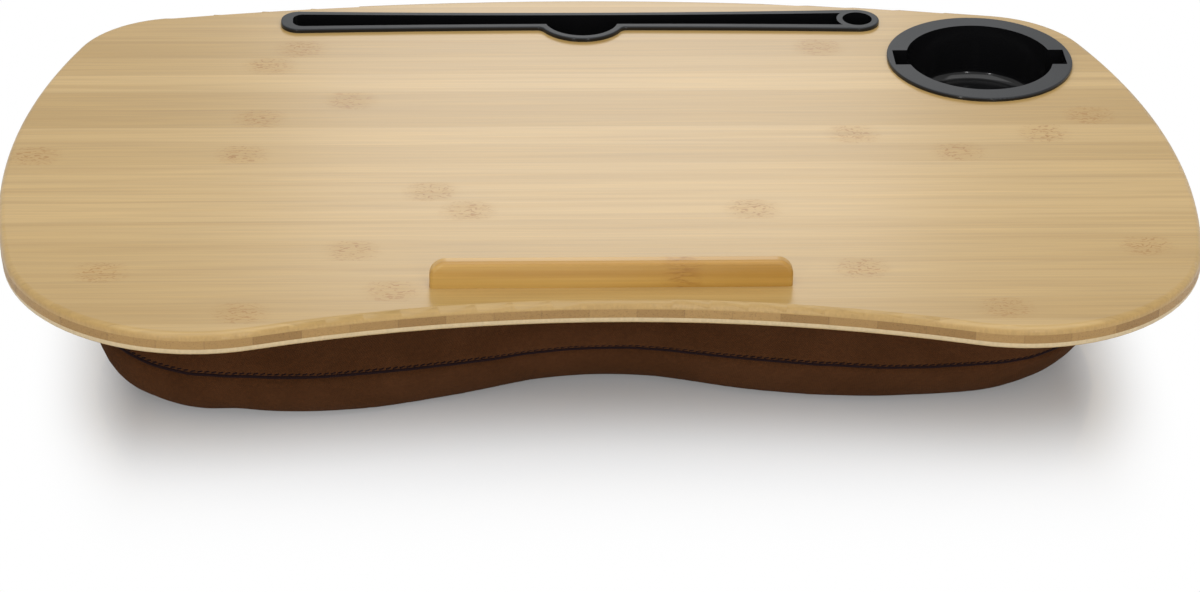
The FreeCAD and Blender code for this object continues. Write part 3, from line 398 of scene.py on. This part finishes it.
zip_metal = plated_metal("zip_metal", (0.62, 0.61, 0.59), 0.2)
wear(["zip_stops", "zip_slider", "zip_loop", "zip_pull"], zip_metal)
wear(["ledge_screws"], plated_metal("screw_steel", (0.5, 0.5, 0.51), 0.32))
print("metal is plated")

# %% [markdown]
# ## Zip teeth
# The teeth are moulded in a brown plastic that matches the cloth. They are tiny, so a satin finish
# with a fine grain and slightly paler crowns, where the slider rubs them, is all they need.

# %% Zip teeth
ROUND_RADIUS, ROUND_Y, SEAM = 0.27154, -0.13954, 0.0235
CROWN_FROM, CROWN_TO = 0.2697, 0.2702
TOOTH_BROWN, RUBBED_BROWN = (0.04, 0.018, 0.01), (0.066, 0.033, 0.019)


def span(first, second):
    """The length over two sides at right angles."""
    return (first * first + second * second).math("SQRT")


def zip_plastic():
    """Brown plastic, rubbed paler at the crowns, which lie farthest from the axis of the round back."""
    material, shader, start = new_finish("zip_plastic", {})
    point = place(start)
    x, y, _ = split(start, point)
    grain = speckle(start, point, 1500)
    rubbed = band(start, span(x, y - ROUND_Y), CROWN_FROM, CROWN_TO)
    feed(shader, Base_Color=blend(start, rubbed * (0.4 + grain * 0.6), TOOTH_BROWN, RUBBED_BROWN),
         Roughness=0.52 - rubbed * 0.18,
         Normal=relief(start, grain, 0.00003))
    return material


wear(["zip_teeth_upper", "zip_teeth_lower"], zip_plastic())
print("zip teeth are brown plastic")

# %% [markdown]
# ## Brown cloth
# The cover is a dense plain weave with a brushed, slightly felted face. From arm's length the threads
# melt into a fine grain, so the colour carries a soft mottling as well as the weave. The weave
# follows a map in metres that is laid on the cushion after it is filled, so threads run along the
# cloth round the side and don't swim through it.

# %% Cover cloth
THREAD = 0.0006
CLOTH_DEEP, CLOTH_WORN = (0.063, 0.0242, 0.0088), (0.076, 0.0296, 0.0112)


def cover_cloth():
    """A plain weave with slubs, a brushed nap and soft patches."""
    material, shader, start = new_finish("cover_fabric", {
        "Sheen Weight": 0.04, "Sheen Roughness": 0.5, "Sheen Tint": (0.75, 0.45, 0.25, 1),
        "Specular IOR Level": 0.06})
    along, up, _ = split(start, start.node("UVMap", {"uv_map": "weave"}, {}))
    over = ripple(along, 2 * THREAD) * ripple(up, 2 * THREAD)
    slub = cloud(start, along * 260, up * 1500, 0.3) * 0.5
    slub = slub + cloud(start, along * 1500, up * 260, 4.1) * 0.5
    nap = cloud(start, along * 620, up * 620, 8.2, 3)
    patch = cloud(start, along * 45, up * 45, 1.7, 3)
    colour = blend(start, band(start, patch, 0.3, 0.72), CLOTH_DEEP, CLOTH_WORN)
    feed(shader, Base_Color=shade(start, colour, 0.5 + slub * 0.5 + nap * 0.5 + over * 0.08),
         Roughness=0.86 + nap * 0.12,
         Normal=relief(start, over * 0.5 + slub + nap, 0.00012))
    return material


cloth_finish = cover_cloth()
print("cloth with threads", THREAD * 1000, "mm wide")

# %% [markdown]
# ## Filling the cushion
# The cushion is a kidney-shaped bag of foam beads. It could be sculpted, but cloth under pressure
# finds the right crown by itself: a copy of the filling is remeshed into even squares, grown a little,
# and blown up by the cloth simulation while a ring at the seam is held, as the thread holds it.

# %% Start the bag from the filling
BAG_GRID, BAG_GROWTH = 0.005, 0.0055
START_LOW, START_HIGH = 0.0006, 0.0564


def alone(piece):
    """Select one piece only and make it active."""
    bpy.ops.object.select_all(action="DESELECT")
    piece.select_set(True)
    bpy.context.view_layer.objects.active = piece


def apply_modifier(piece, kind, settings):
    """Add a modifier with its settings and apply it."""
    alone(piece)
    modifier = piece.modifiers.new(kind.title(), kind)
    for name, setting in settings.items():
        setattr(modifier, name, setting)
    bpy.ops.object.modifier_apply(modifier=modifier.name)


def new_copy(name, mesh):
    """A new piece with its own copy of a mesh."""
    piece = bpy.data.objects.new(name, mesh.copy())
    bpy.context.collection.objects.link(piece)
    return piece


def edit(piece, whole=True):
    """Open a piece in edit mode, with the whole of it selected or only what was picked before."""
    alone(piece)
    bpy.ops.object.mode_set(mode="EDIT")
    if whole:
        bpy.ops.mesh.select_all(action="SELECT")


def done():
    """Leave edit mode."""
    bpy.ops.object.mode_set(mode="OBJECT")


def keep_between(piece, low, high):
    """Press a piece flat at two heights, as the floor and the board do."""
    for vertex in piece.data.vertices:
        vertex.co.z = min(max(vertex.co.z, low), high)


cushion = new_copy("cushion", nodes["bead_fill"].data)
edit(cushion)
bpy.ops.mesh.remove_doubles(threshold=0.00001)
done()
cushion.data.materials.clear()
cushion.data.remesh_voxel_size = BAG_GRID
bpy.ops.object.voxel_remesh()
apply_modifier(cushion, "DISPLACE", {"strength": BAG_GROWTH, "mid_level": 0})
keep_between(cushion, START_LOW, START_HIGH)
print("bag starts with", len(cushion.data.vertices), "points")

# %% Blow it up
HELD_HALF, PRESSURE, LAST_FRAME, LARGEST_MOVE = 0.0028, 4, 20, 0.0045
BAG_TOP = 0.0568
held = cushion.vertex_groups.new(name="seam")
held.add([v.index for v in cushion.data.vertices if abs(v.co.z - SEAM) < HELD_HALF], 1, "REPLACE")
before = [vertex.co.copy() for vertex in cushion.data.vertices]
cloth = cushion.modifiers.new("Filling", "CLOTH")
cloth.settings.vertex_group_mass = "seam"
cloth.settings.use_pressure = True
cloth.settings.uniform_pressure_force = PRESSURE
cloth.settings.effector_weights.gravity = 0
for number in range(1, LAST_FRAME + 1):
    bpy.context.scene.frame_set(number)
alone(cushion)
bpy.ops.object.modifier_apply(modifier="Filling")
bpy.context.scene.frame_set(1)
moves = []
for vertex, first in zip(cushion.data.vertices, before):
    move = vertex.co - first
    moves.append(move.length)
    if move.length > LARGEST_MOVE:
        vertex.co = first + move * (LARGEST_MOVE / move.length)
print("points moved by up to", round(max(moves) * 1000, 2), "mm")
apply_modifier(cushion, "SMOOTH", {"factor": 0.5, "iterations": 12})
keep_between(cushion, 0, BAG_TOP)
apply_modifier(cushion, "SUBSURF", {"levels": 1, "render_levels": 1})
print("bag has", len(cushion.data.polygons), "faces")

# %% [markdown]
# ## The seam and the zip window
# The top and the bottom of the cover meet in one seam, about two fifths of the way up. On the round
# back it parts for the zip, in a narrow window. Bisect lays edges exactly at the seam and along
# the window; then the seam is drawn in, with small puckers beside it, and the window's faces are
# extruded inwards. Painting a line would be quicker but would not catch the light.

# %% Lay edges along the seam and the window
ZIP_START, ZIP_END = math.radians(85.022), math.radians(155.022)
WINDOW_HALF, WINDOW_DEPTH = 0.0048, 0.0062
EDGE_HEIGHTS = (-0.0052, -WINDOW_HALF, -0.0022, -0.0009, 0, 0.0009, 0.0022, WINDOW_HALF, 0.0052)
CUT_HALF, END_HALF, END_TURN = 0.009, 0.0053, 0.03
BACK_FROM = 0.24


def zip_angle(point):
    """The direction of a point, seen from the axis of the round back."""
    return math.atan2(point.y - ROUND_Y, point.x)


def zip_radius(point):
    """How far a point is from the axis of the round back."""
    return math.hypot(point.x, point.y - ROUND_Y)


def near_zip(point, slack):
    """Whether a point of the back lies along the zip, or past its ends by up to some slack."""
    return ZIP_START - slack < zip_angle(point) < ZIP_END + slack and zip_radius(point) > BACK_FROM


def pick_nothing(piece):
    """Take back what is selected in a mesh."""
    for part in (piece.data.vertices, piece.data.edges, piece.data.polygons):
        part.foreach_set("select", [False] * len(part))


def pick_faces(piece, wanted):
    """Select the faces whose middle is wanted; how many they are."""
    pick_nothing(piece)
    picked = [face for face in piece.data.polygons if wanted(face.center)]
    for face in picked:
        face.select = True
    return len(picked)


bpy.context.tool_settings.mesh_select_mode = (False, False, True)
for height in EDGE_HEIGHTS:
    pick_faces(cushion, lambda centre: abs(centre.z - SEAM) < CUT_HALF)
    edit(cushion, whole=False)
    bpy.ops.mesh.bisect(plane_co=(0, 0, SEAM + height), plane_no=(0, 0, 1))
    done()
for angle in (ZIP_START, ZIP_END):
    pick_faces(cushion, lambda centre: abs(zip_angle(centre) - angle) < END_TURN
               and near_zip(centre, 0.1) and abs(centre.z - SEAM) < END_HALF)
    edit(cushion, whole=False)
    bpy.ops.mesh.bisect(plane_co=(0, ROUND_Y, SEAM), plane_no=(-math.sin(angle), math.cos(angle), 0))
    done()
print("edges laid;", len(cushion.data.polygons), "faces")

# %% Draw in the seam and set the cloth at the zip
SEAM_DEPTH, SEAM_WIDTH, SEAM_REACH, SIDE_FACING = 0.0013, 0.0013, 0.02, 0.3
PUCKER_DEPTH, PUCKER_WIDTH, FRONT_Y, BACK_MM = 0.0008, 0.006, -0.08, 271
ZIP_FADE, FLAT_HALF, FLAT_FADE = 0.06, 0.007, 0.008
TUCK, TUCK_FROM, TUCK_HEIGHT = 0.0165, 0.002, 0.0215


def ease(share):
    """A smooth step from 0 to 1."""
    share = min(max(share, 0), 1)
    return share * share * (3 - 2 * share)


normals = [vertex.normal.copy() for vertex in cushion.data.vertices]
for vertex, normal in zip(cushion.data.vertices, normals):
    off = vertex.co.z - SEAM
    outward = Vector((normal.x, normal.y, 0))
    if outward.length < SIDE_FACING or abs(off) > SEAM_REACH:
        continue
    outward.normalize()
    angle, radius = zip_angle(vertex.co), zip_radius(vertex.co)
    beside = max(ZIP_START - angle, angle - ZIP_END) if radius > BACK_FROM else 1
    at_zip = (1 - ease(beside / ZIP_FADE)) * (1 - ease((abs(off) - FLAT_HALF) / FLAT_FADE))
    if at_zip > 0:
        target = ROUND_RADIUS - TUCK * max(-off - TUCK_FROM, 0) ** 2 / TUCK_HEIGHT
        shift = (target - radius) * at_zip
        vertex.co += Vector((math.cos(angle), math.sin(angle), 0)) * shift
    line = vertex.co.x * 1000 if vertex.co.y < FRONT_Y else angle * BACK_MM
    pucker = math.sin(line / 9 + 3 * noise.noise((line / 40, 0, 2))) * noise.noise((line / 23, 5, 0))
    drawn = SEAM_DEPTH * math.exp(-(off / SEAM_WIDTH) ** 2)
    waved = PUCKER_DEPTH * pucker * math.exp(-(off / PUCKER_WIDTH) ** 2)
    vertex.co -= outward * (drawn + waved) * (1 - at_zip)
print("seam drawn in by", SEAM_DEPTH * 1000, "mm")

# %% Sink the zip's window
window_faces = pick_faces(
    cushion, lambda centre: near_zip(centre, 0) and abs(centre.z - SEAM) < WINDOW_HALF)
edit(cushion, whole=False)
bpy.ops.mesh.extrude_region_shrink_fatten(TRANSFORM_OT_shrink_fatten={"value": -WINDOW_DEPTH})
done()
print("window sunk over", window_faces, "faces")

# %% [markdown]
# ## A map for the weave
# A weave needs to know which way the threads run. Round the side they run level and upright, so the
# map takes the length round the seam and the height; on the top and the underside it takes X and Y.
# Unwrapping with a tool would cut and turn the cloth in places, so the map is worked out directly.

# %% Map the cloth
MIDDLE_Y, AT_SEAM, RIM_STEP, LEVEL_FACING = -0.02, 0.00002, 0.01, 0.78


def turn(point):
    """The direction of a point seen from the middle of the cushion."""
    return math.atan2(point.y - MIDDLE_Y, point.x)


rim = [(turn(v.co), v.co.x, v.co.y) for v in cushion.data.vertices
       if abs(v.co.z - SEAM) < AT_SEAM and not near_zip(v.co, 0.02)]
for step in range(int((ZIP_END - ZIP_START) * 100)):
    angle = ZIP_START + RIM_STEP * step
    spot = Vector((math.cos(angle) * ROUND_RADIUS, ROUND_Y + math.sin(angle) * ROUND_RADIUS, SEAM))
    rim.append((turn(spot), spot.x, spot.y))
rim.sort()
lengths = [0]
for (_, x0, y0), (_, x1, y1) in zip(rim, rim[1:]):
    lengths.append(lengths[-1] + math.hypot(x1 - x0, y1 - y0))
girth = lengths[-1]


def along_rim(point):
    """Length round the seam up to the direction of a point."""
    angle, low, high = turn(point), 0, len(rim) - 1
    while high - low > 1:
        middle = (low + high) // 2
        low, high = (middle, high) if rim[middle][0] < angle else (low, middle)
    share = (angle - rim[low][0]) / max(rim[high][0] - rim[low][0], 1e-9)
    return lengths[low] + share * (lengths[high] - lengths[low])


weave = cushion.data.uv_layers.new(name="weave")
around = [along_rim(vertex.co) for vertex in cushion.data.vertices]
for face in cushion.data.polygons:
    level_face = abs(face.normal.z) > LEVEL_FACING
    middle = along_rim(face.center)
    for corner in face.loop_indices:
        index = cushion.data.loops[corner].vertex_index
        point = cushion.data.vertices[index].co
        length = around[index]
        if abs(length - middle) > girth / 2:
            length += girth if middle > length else -girth
        weave.data[corner].uv = (point.x, point.y) if level_face else (length, point.z)
cushion.data.materials.append(cloth_finish)
alone(cushion)
bpy.ops.object.shade_smooth_by_angle(angle=math.radians(50))
print("cloth mapped,", round(girth, 3), "m round the seam")

# %% Hand the cushion over
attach(cushion, "tray")
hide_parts("cover_top_panel", "cover_upper_band", "cover_lower_shell", "inner_bag", "bead_fill")
print("cushion is in place")

# %% [markdown]
# ## Thread of the seam
# The seam shows as a thin dark line: a corded edge with a row of short slanted stitches over it. A copy
# of the cushion is bisected twice over, so only the edge loop at the seam is left, and a curve with
# a round section follows it. The stitches are one small rounded bar, copied along the same line.

# %% Dark thread finish
THREAD_BROWN = (0.0165, 0.0075, 0.0085)


def dark_thread():
    """Twisted, slightly fuzzy sewing thread."""
    material, shader, start = new_finish("seam_thread", {"Specular IOR Level": 0.08})
    point = place(start)
    x, y, z = split(start, point)
    twist = ((x + y) * 5200 + z * 9000).math("SINE")
    fuzz = speckle(start, point, 1900)
    feed(shader, Base_Color=shade(start, THREAD_BROWN, 0.7 + fuzz * 0.5 + twist * 0.12),
         Roughness=0.62 + fuzz * 0.2,
         Normal=relief(start, twist * 0.5 + fuzz, 0.00005))
    return material


thread_finish = dark_thread()
print("thread is dark brown")

# %% Corded edge along the seam
CORD_RADIUS, CORD_STEP = 0.00075, 0.0004
cord_edge = new_copy("seam_cord", cushion.data)
edit(cord_edge)
bpy.ops.mesh.bisect(plane_co=(0, 0, SEAM), plane_no=(0, 0, 1), clear_inner=True, clear_outer=True)
done()
bpy.context.tool_settings.mesh_select_mode = (True, False, False)
pick_nothing(cord_edge)
for vertex in cord_edge.data.vertices:
    if near_zip(vertex.co, 0.004) or abs(vertex.co.z - SEAM) > 0.0001:
        vertex.select = True
edit(cord_edge, whole=False)
bpy.ops.mesh.delete(type="VERT")
bpy.ops.mesh.select_all(action="SELECT")
bpy.ops.mesh.remove_doubles(threshold=CORD_STEP)
done()
cord_edge.data.materials.clear()
bpy.ops.object.convert(target="CURVE")
longest = max(cord_edge.data.splines, key=lambda spline: len(spline.points))
seam_line = [point.co.to_3d() for point in longest.points]
cord_edge.data.bevel_depth = CORD_RADIUS
cord_edge.data.bevel_resolution = 2
cord_edge.data.use_fill_caps = True
bpy.ops.object.convert(target="MESH")
cord_edge.data.materials.clear()
cord_edge.data.materials.append(thread_finish)
bpy.ops.object.shade_smooth()
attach(cord_edge, "tray")
print("corded edge through", len(seam_line), "points,", len(cord_edge.data.polygons), "faces")

# %% Slanted stitches over the seam
STITCH_PITCH, STITCH_LENGTH, STITCH_RADIUS, STITCH_RISE = 0.0034, 0.0024, 0.00034, 0.28
STITCH_OUT, STITCH_LIFT = SEAM_DEPTH * 0.45 + 0.0005, 0.0016


def joined(copies, name, material):
    """Join copies into one piece with a name and a material."""
    bpy.ops.object.select_all(action="DESELECT")
    for copy in copies:
        copy.select_set(True)
    bpy.context.view_layer.objects.active = copies[0]
    bpy.ops.object.join()
    piece = bpy.context.active_object
    piece.name = name
    piece.data.materials.clear()
    piece.data.materials.append(material)
    return piece


bpy.ops.object.select_all(action="DESELECT")
bpy.ops.mesh.primitive_cylinder_add(
    vertices=8, radius=STITCH_RADIUS, depth=STITCH_LENGTH, rotation=(0, math.pi / 2, 0))
stitch = bpy.context.active_object
bpy.ops.object.transform_apply(location=False, rotation=True, scale=False)
apply_modifier(stitch, "BEVEL", {"width": 0.0003, "segments": 2, "limit_method": "ANGLE"})
row_spots, carried = [], 0
for first, last in zip(seam_line, seam_line[1:]):
    step = last - first
    while carried <= step.length and step.length > 0:
        row_spots.append((first + step * (carried / step.length), step.normalized()))
        carried += STITCH_PITCH
    carried -= step.length
bars = []
for number, (spot, heading) in enumerate(row_spots):
    outward = heading.cross(Vector((0, 0, 1))).normalized()
    if outward.dot(spot - Vector((0, MIDDLE_Y, SEAM))) < 0:
        outward = -outward
    slant = (heading + Vector((0, 0, STITCH_RISE))).normalized()
    turned = Matrix((slant, outward, outward.cross(slant))).transposed().to_4x4()
    turned.translation = spot + outward * STITCH_OUT + Vector((0, 0, STITCH_LIFT))
    bar = new_copy(f"stitch_{number}", stitch.data)
    bar.data.transform(turned)
    bars.append(bar)
bpy.data.objects.remove(stitch)
stitches = joined(bars, "seam_stitches", thread_finish)
bpy.ops.object.shade_smooth()
edit(stitches)
bpy.ops.mesh.normals_make_consistent(inside=False)
done()
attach(stitches, "tray")
print(len(row_spots), "stitches along the seam")

# %% [markdown]
# ## Letting the beads settle
# A bead bag never stays even: when the tray is put down, the beads run to one side. Here the front
# has settled towards its left lobe. The simulation could be run with beads, but it would take hours,
# so the low points of the front are moved by a smooth rule, and the seam's thread with them.

# %% Settle the front
# Each fade starts at the first number and is complete after the second, all in metres: upwards,
# towards the front, and towards the left.
LOW_FROM, LOW_FADE = 0.004, 0.036
FRONT_FROM, FRONT_FADE = -0.03, 0.1
LEFT_FROM, LEFT_FADE = 0.2, 0.4
LEAN_X, LOBE_X, LOBE_Y = -0.009, 0.005, -0.0125


def settled(point):
    """Where the beads have pushed a point of the cover."""
    low = 1 - ease((point.z - LOW_FROM) / LOW_FADE)
    front = ease((FRONT_FROM - point.y) / FRONT_FADE)
    left = ease((LEFT_FROM - point.x) / LEFT_FADE)
    return point + Vector((LOBE_X * left + LEAN_X, LOBE_Y * left, 0)) * (low * front)


farthest = 0
for piece in (cushion, cord_edge, stitches):
    for vertex in piece.data.vertices:
        spot = settled(vertex.co)
        farthest = max(farthest, (spot - vertex.co).length)
        vertex.co = spot
print("front settled by up to", round(farthest * 1000, 1), "mm")

# %% [markdown]
# ## Zip tapes and the window's hem
# Behind the window lie the two woven tapes that carry the teeth, and the window's edge is turned in
# and stitched, which shows as a soft rolled hem. Tapes and hem keep the same section all the way
# round the back, so a small profile is spun about the axis of the round back. Boxes that are bent
# afterwards would stretch the weave.

# %% Woven zip tape finish
TAPE_BROWN, RIB_PITCH, CROSS_PITCH = (0.05, 0.02, 0.0095), 0.0007, 0.0009


def zip_tape_cloth():
    """Ribs along the tape, crossed by its weft."""
    material, shader, start = new_finish("zip_tape", {"Sheen Weight": 0.1, "Specular IOR Level": 0.25})
    point = place(start)
    x, y, z = split(start, point)
    run = (y - ROUND_Y).math("ARCTAN2", x) * ROUND_RADIUS
    rib, cross = ripple(z, RIB_PITCH), ripple(run, CROSS_PITCH)
    fuzz = speckle(start, point, 1400)
    feed(shader, Base_Color=shade(start, TAPE_BROWN, 0.7 + fuzz * 0.5 + rib * cross * 0.15),
         Roughness=0.85 + fuzz * 0.1,
         Normal=relief(start, rib * 0.6 + cross * 0.4 + fuzz, 0.00008))
    return material


tape_finish = zip_tape_cloth()
print("tape weave is ready")

# %% Spin the tapes and the hem
SPIN_STEPS = 84
TAPE_RADIUS, TAPE_THICK, TAPE_INNER, TAPE_OUTER = 0.26924, 0.0007, 0.002, 0.006
HEM_RADIUS, HEM_THICK, HEM_HALF, HEM_AWAY = ROUND_RADIUS + 0.0005, 0.0017, 0.0011, 0.0009


def spun_strip(name, radius, thickness, low, high, overlap, material, rounding):
    """A strip with rounded edges, spun along the zip, clockwise about the axis of the round back."""
    bpy.ops.object.select_all(action="DESELECT")
    bpy.ops.mesh.primitive_plane_add(size=1)
    strip = bpy.context.active_object
    strip.name = name
    begin, sweep = ZIP_END + overlap, ZIP_END - ZIP_START + 2 * overlap
    profile = Matrix.Rotation(begin, 4, "Z") @ Matrix.Rotation(math.pi / 2, 4, "X")
    profile = Matrix.Translation((0, ROUND_Y, 0)) @ profile @ Matrix.Translation(
        (radius - thickness / 2, (low + high) / 2, 0)) @ Matrix.Diagonal((thickness, high - low, 1, 1))
    strip.data.transform(profile)
    edit(strip)
    bpy.ops.mesh.bevel(offset=rounding, segments=3, affect="VERTICES")
    bpy.ops.mesh.select_all(action="SELECT")
    bpy.ops.mesh.spin(steps=SPIN_STEPS, angle=sweep, center=(0, ROUND_Y, 0), axis=(0, 0, 1))
    bpy.ops.mesh.select_all(action="SELECT")
    bpy.ops.mesh.remove_doubles(threshold=0.000001)
    bpy.ops.mesh.fill_holes(sides=0)
    bpy.ops.mesh.normals_make_consistent(inside=False)
    done()
    strip.data.materials.append(material)
    alone(strip)
    bpy.ops.object.shade_smooth_by_angle(angle=math.radians(40))
    return strip


for node_name, side in (("zip_tape_lower", -1), ("zip_tape_upper", 1)):
    low, high = sorted((SEAM + side * TAPE_INNER, SEAM + side * TAPE_OUTER))
    tape = spun_strip(node_name + "_cloth", TAPE_RADIUS, TAPE_THICK, low, high, 0.0045,
                      tape_finish, 0.0002)
    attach(tape, "tray")
    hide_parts(node_name)
for name, side in (("zip_hem_lower", -1), ("zip_hem_upper", 1)):
    middle = SEAM + side * (WINDOW_HALF + HEM_AWAY)
    hem = spun_strip(name, HEM_RADIUS, HEM_THICK, middle - HEM_HALF, middle + HEM_HALF, 0.006,
                     tape_finish, 0.0007)
    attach(hem, "tray")
print("tapes and hems spun from x", [round(corner[0], 3) for corner in hem.bound_box][::6], "m")

# %% [markdown]
# ## Hook and loop strips
# Four pairs of hook and loop strips hold the board on the cushion: hooks glued to the board, loops
# sewn to the cover. They are cut from tape with softened corners and a sewn border. One strip is
# shaped from a cube, with an inset border pressed in, and copied to the four places of each kind.

# %% Hook and loop tape finish
def pile_tape(name, colour, scale, depth):
    """A pile of small hooks or loops, finer with a larger scale."""
    material, shader, start = new_finish(name, {"Sheen Weight": 0.2, "Specular IOR Level": 0.3})
    point = place(start)
    pile = start.node("TexVoronoi", {}, {"Vector": point, "Scale": scale})
    fuzz = speckle(start, point, scale * 2.4, 3)
    feed(shader, Base_Color=shade(start, colour, 0.55 + fuzz * 0.5 + pile * 0.5),
         Roughness=0.75 + fuzz * 0.2,
         Normal=relief(start, pile + fuzz, depth))
    return material


print("pile tape is ready")

# %% Shape one strip and copy it
STRAP_SPOTS = ((-0.110, -0.072), (0.110, -0.072), (-0.110, 0.055), (0.110, 0.055))
STRAP_LENGTH, STRAP_WIDTH, BORDER, BORDER_EDGE, PRESSED = 0.090, 0.020, 0.0022, 0.0006, 0.8


def strap_set(node_name, material):
    """Four strips as one piece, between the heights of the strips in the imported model."""
    low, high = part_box(node_name)
    thick = high[2] - low[2]
    bpy.ops.object.select_all(action="DESELECT")
    bpy.ops.mesh.primitive_cube_add(size=1)
    strip = bpy.context.active_object
    strip.data.transform(Matrix.Diagonal((STRAP_LENGTH, STRAP_WIDTH, thick, 1)))
    apply_modifier(strip, "BEVEL", {"width": 0.0004, "segments": 2})
    pick_faces(strip, lambda centre: abs(centre.z) > thick * 0.49)
    bpy.context.tool_settings.mesh_select_mode = (False, False, True)
    edit(strip, whole=False)
    bpy.ops.mesh.inset(thickness=BORDER)
    bpy.ops.mesh.inset(thickness=BORDER_EDGE)
    bpy.ops.transform.resize(value=(1, 1, PRESSED))
    done()
    copies = []
    for right, back in STRAP_SPOTS:
        copy = new_copy(node_name + "_copy", strip.data)
        copy.data.transform(Matrix.Translation((right, back, (low[2] + high[2]) / 2)))
        copies.append(copy)
    bpy.data.objects.remove(strip)
    straps = joined(copies, node_name + "_tape", material)
    bpy.ops.object.shade_smooth_by_angle(angle=math.radians(40))
    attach(straps, "tray")
    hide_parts(node_name)
    return straps


hooks = strap_set("hook_strips", pile_tape("hook_tape", (0.02, 0.018, 0.017), 900, 0.00025))
loops = strap_set("loop_strips", pile_tape("loop_tape", (0.026, 0.021, 0.019), 500, 0.0004))
print("strips at", len(STRAP_SPOTS), "places")

# %% [markdown]
# ## Floor and light
# The tray stands on a white, glossy sheet that mirrors the dark underside as a soft grey shape, which
# fades into white a hand's breadth away. The floor is part matt, which keeps the shadow, and part
# gloss, which keeps the mirrored shape; both give way to plain white with the distance from the tray.
# Light comes from one wide lamp overhead, a panel behind that lies on the board as a pale sheen, and
# two narrow strips in front that draw bright spots at the foot of the cup's wall.

# %% Floor
FLOOR_SIZE, FLOOR_Z = 14, -0.0004
FADE_X, FADE_Y, FADE_LENGTH, SIDE_STEEPNESS = 0.225, 0.105, 0.18, 3
GLOSS_SHARE, WHITE_SHARE = 0.45, 0.15
bpy.ops.object.select_all(action="DESELECT")
bpy.ops.mesh.primitive_plane_add(size=FLOOR_SIZE, location=(0, 0, FLOOR_Z))
floor = bpy.context.active_object
floor.name = "floor"
bpy.ops.object.transform_apply()
floor_finish = bpy.data.materials.new("floor_sheet")
floor_finish.use_nodes = True
tree = floor_finish.node_tree
start = Wire(tree)
matt = start.node("BsdfDiffuse", {}, {"Color": (0.91, 0.925, 0.95, 1)})
gloss = start.node("BsdfGlossy", {}, {"Color": (1, 1, 1, 1), "Roughness": 0.08})
x, y, _ = split(start, place(start))
beside = (x.math("ABSOLUTE") - FADE_X).math("MAXIMUM", 0) * SIDE_STEEPNESS
before = (y.math("ABSOLUTE") - FADE_Y).math("MAXIMUM", 0)
away = band(start, span(beside, before), 0, FADE_LENGTH)
sheet = start.node("MixShader", {}, {0: GLOSS_SHARE - away * GLOSS_SHARE, 1: matt, 2: gloss})
white = start.node("Emission", {}, {"Color": (1, 1, 1, 1), "Strength": 1})
seen = start.node("LightPath", {}, {}, "Is Camera Ray")
whiteness = seen * (WHITE_SHARE + away * (1 - WHITE_SHARE))
sheet = start.node("MixShader", {}, {0: whiteness, 1: sheet, 2: white})
tree.links.new(sheet.socket, tree.nodes["Material Output"].inputs["Surface"])
floor.data.materials.append(floor_finish)
print("floor laid")

# %% World and lamps
AMBIENT, BACKDROP_WHITE, MIRRORED_EXTRA = 0.55, 1, 0.2
world = bpy.data.worlds.new("studio")
bpy.context.scene.world = world
world.use_nodes = True
start = Wire(world.node_tree)
background = world.node_tree.nodes["Background"]
seen = start.node("LightPath", {}, {}, "Is Camera Ray")
mirrored = start.node("LightPath", {}, {}, "Is Glossy Ray")
through = start.node("LightPath", {}, {}, "Is Transmission Ray")
strength = AMBIENT + seen.math("MAXIMUM", through) * (BACKDROP_WHITE - AMBIENT)
strength = strength + mirrored * MIRRORED_EXTRA
world.node_tree.links.new(strength.socket, background.inputs["Strength"])
background.inputs["Color"].default_value = (1, 1, 1, 1)


def lamp(name, spot, aim, size, power):
    """A rectangular area lamp that points at its aim."""
    bpy.ops.object.select_all(action="DESELECT")
    bpy.ops.object.light_add(type="AREA", location=spot)
    light = bpy.context.active_object
    light.name = name
    light.rotation_euler = (Vector(aim) - Vector(spot)).to_track_quat("-Z", "Y").to_euler()
    light.data.shape = "RECTANGLE"
    light.data.size, light.data.size_y = size
    light.data.energy = power


lamp("overhead_lamp", (0.1, -0.5, 2.3), (0, 0, 0), (2.8, 2.2), 30)
lamp("back_panel", (0.13, 1.9, 0.98), (0.03, 0, 0.07), (0.62, 0.5), 3.5)
lamp("left_strip", (-0.75, -1.7, 0.75), (0.2, 0.1, 0.06), (0.08, 0.9), 4)
lamp("right_strip", (0.55, -1.8, 0.75), (0.2, 0.1, 0.06), (0.08, 0.9), 4)
bpy.context.scene.view_settings.view_transform = "Standard"
print("world and lamps are set")
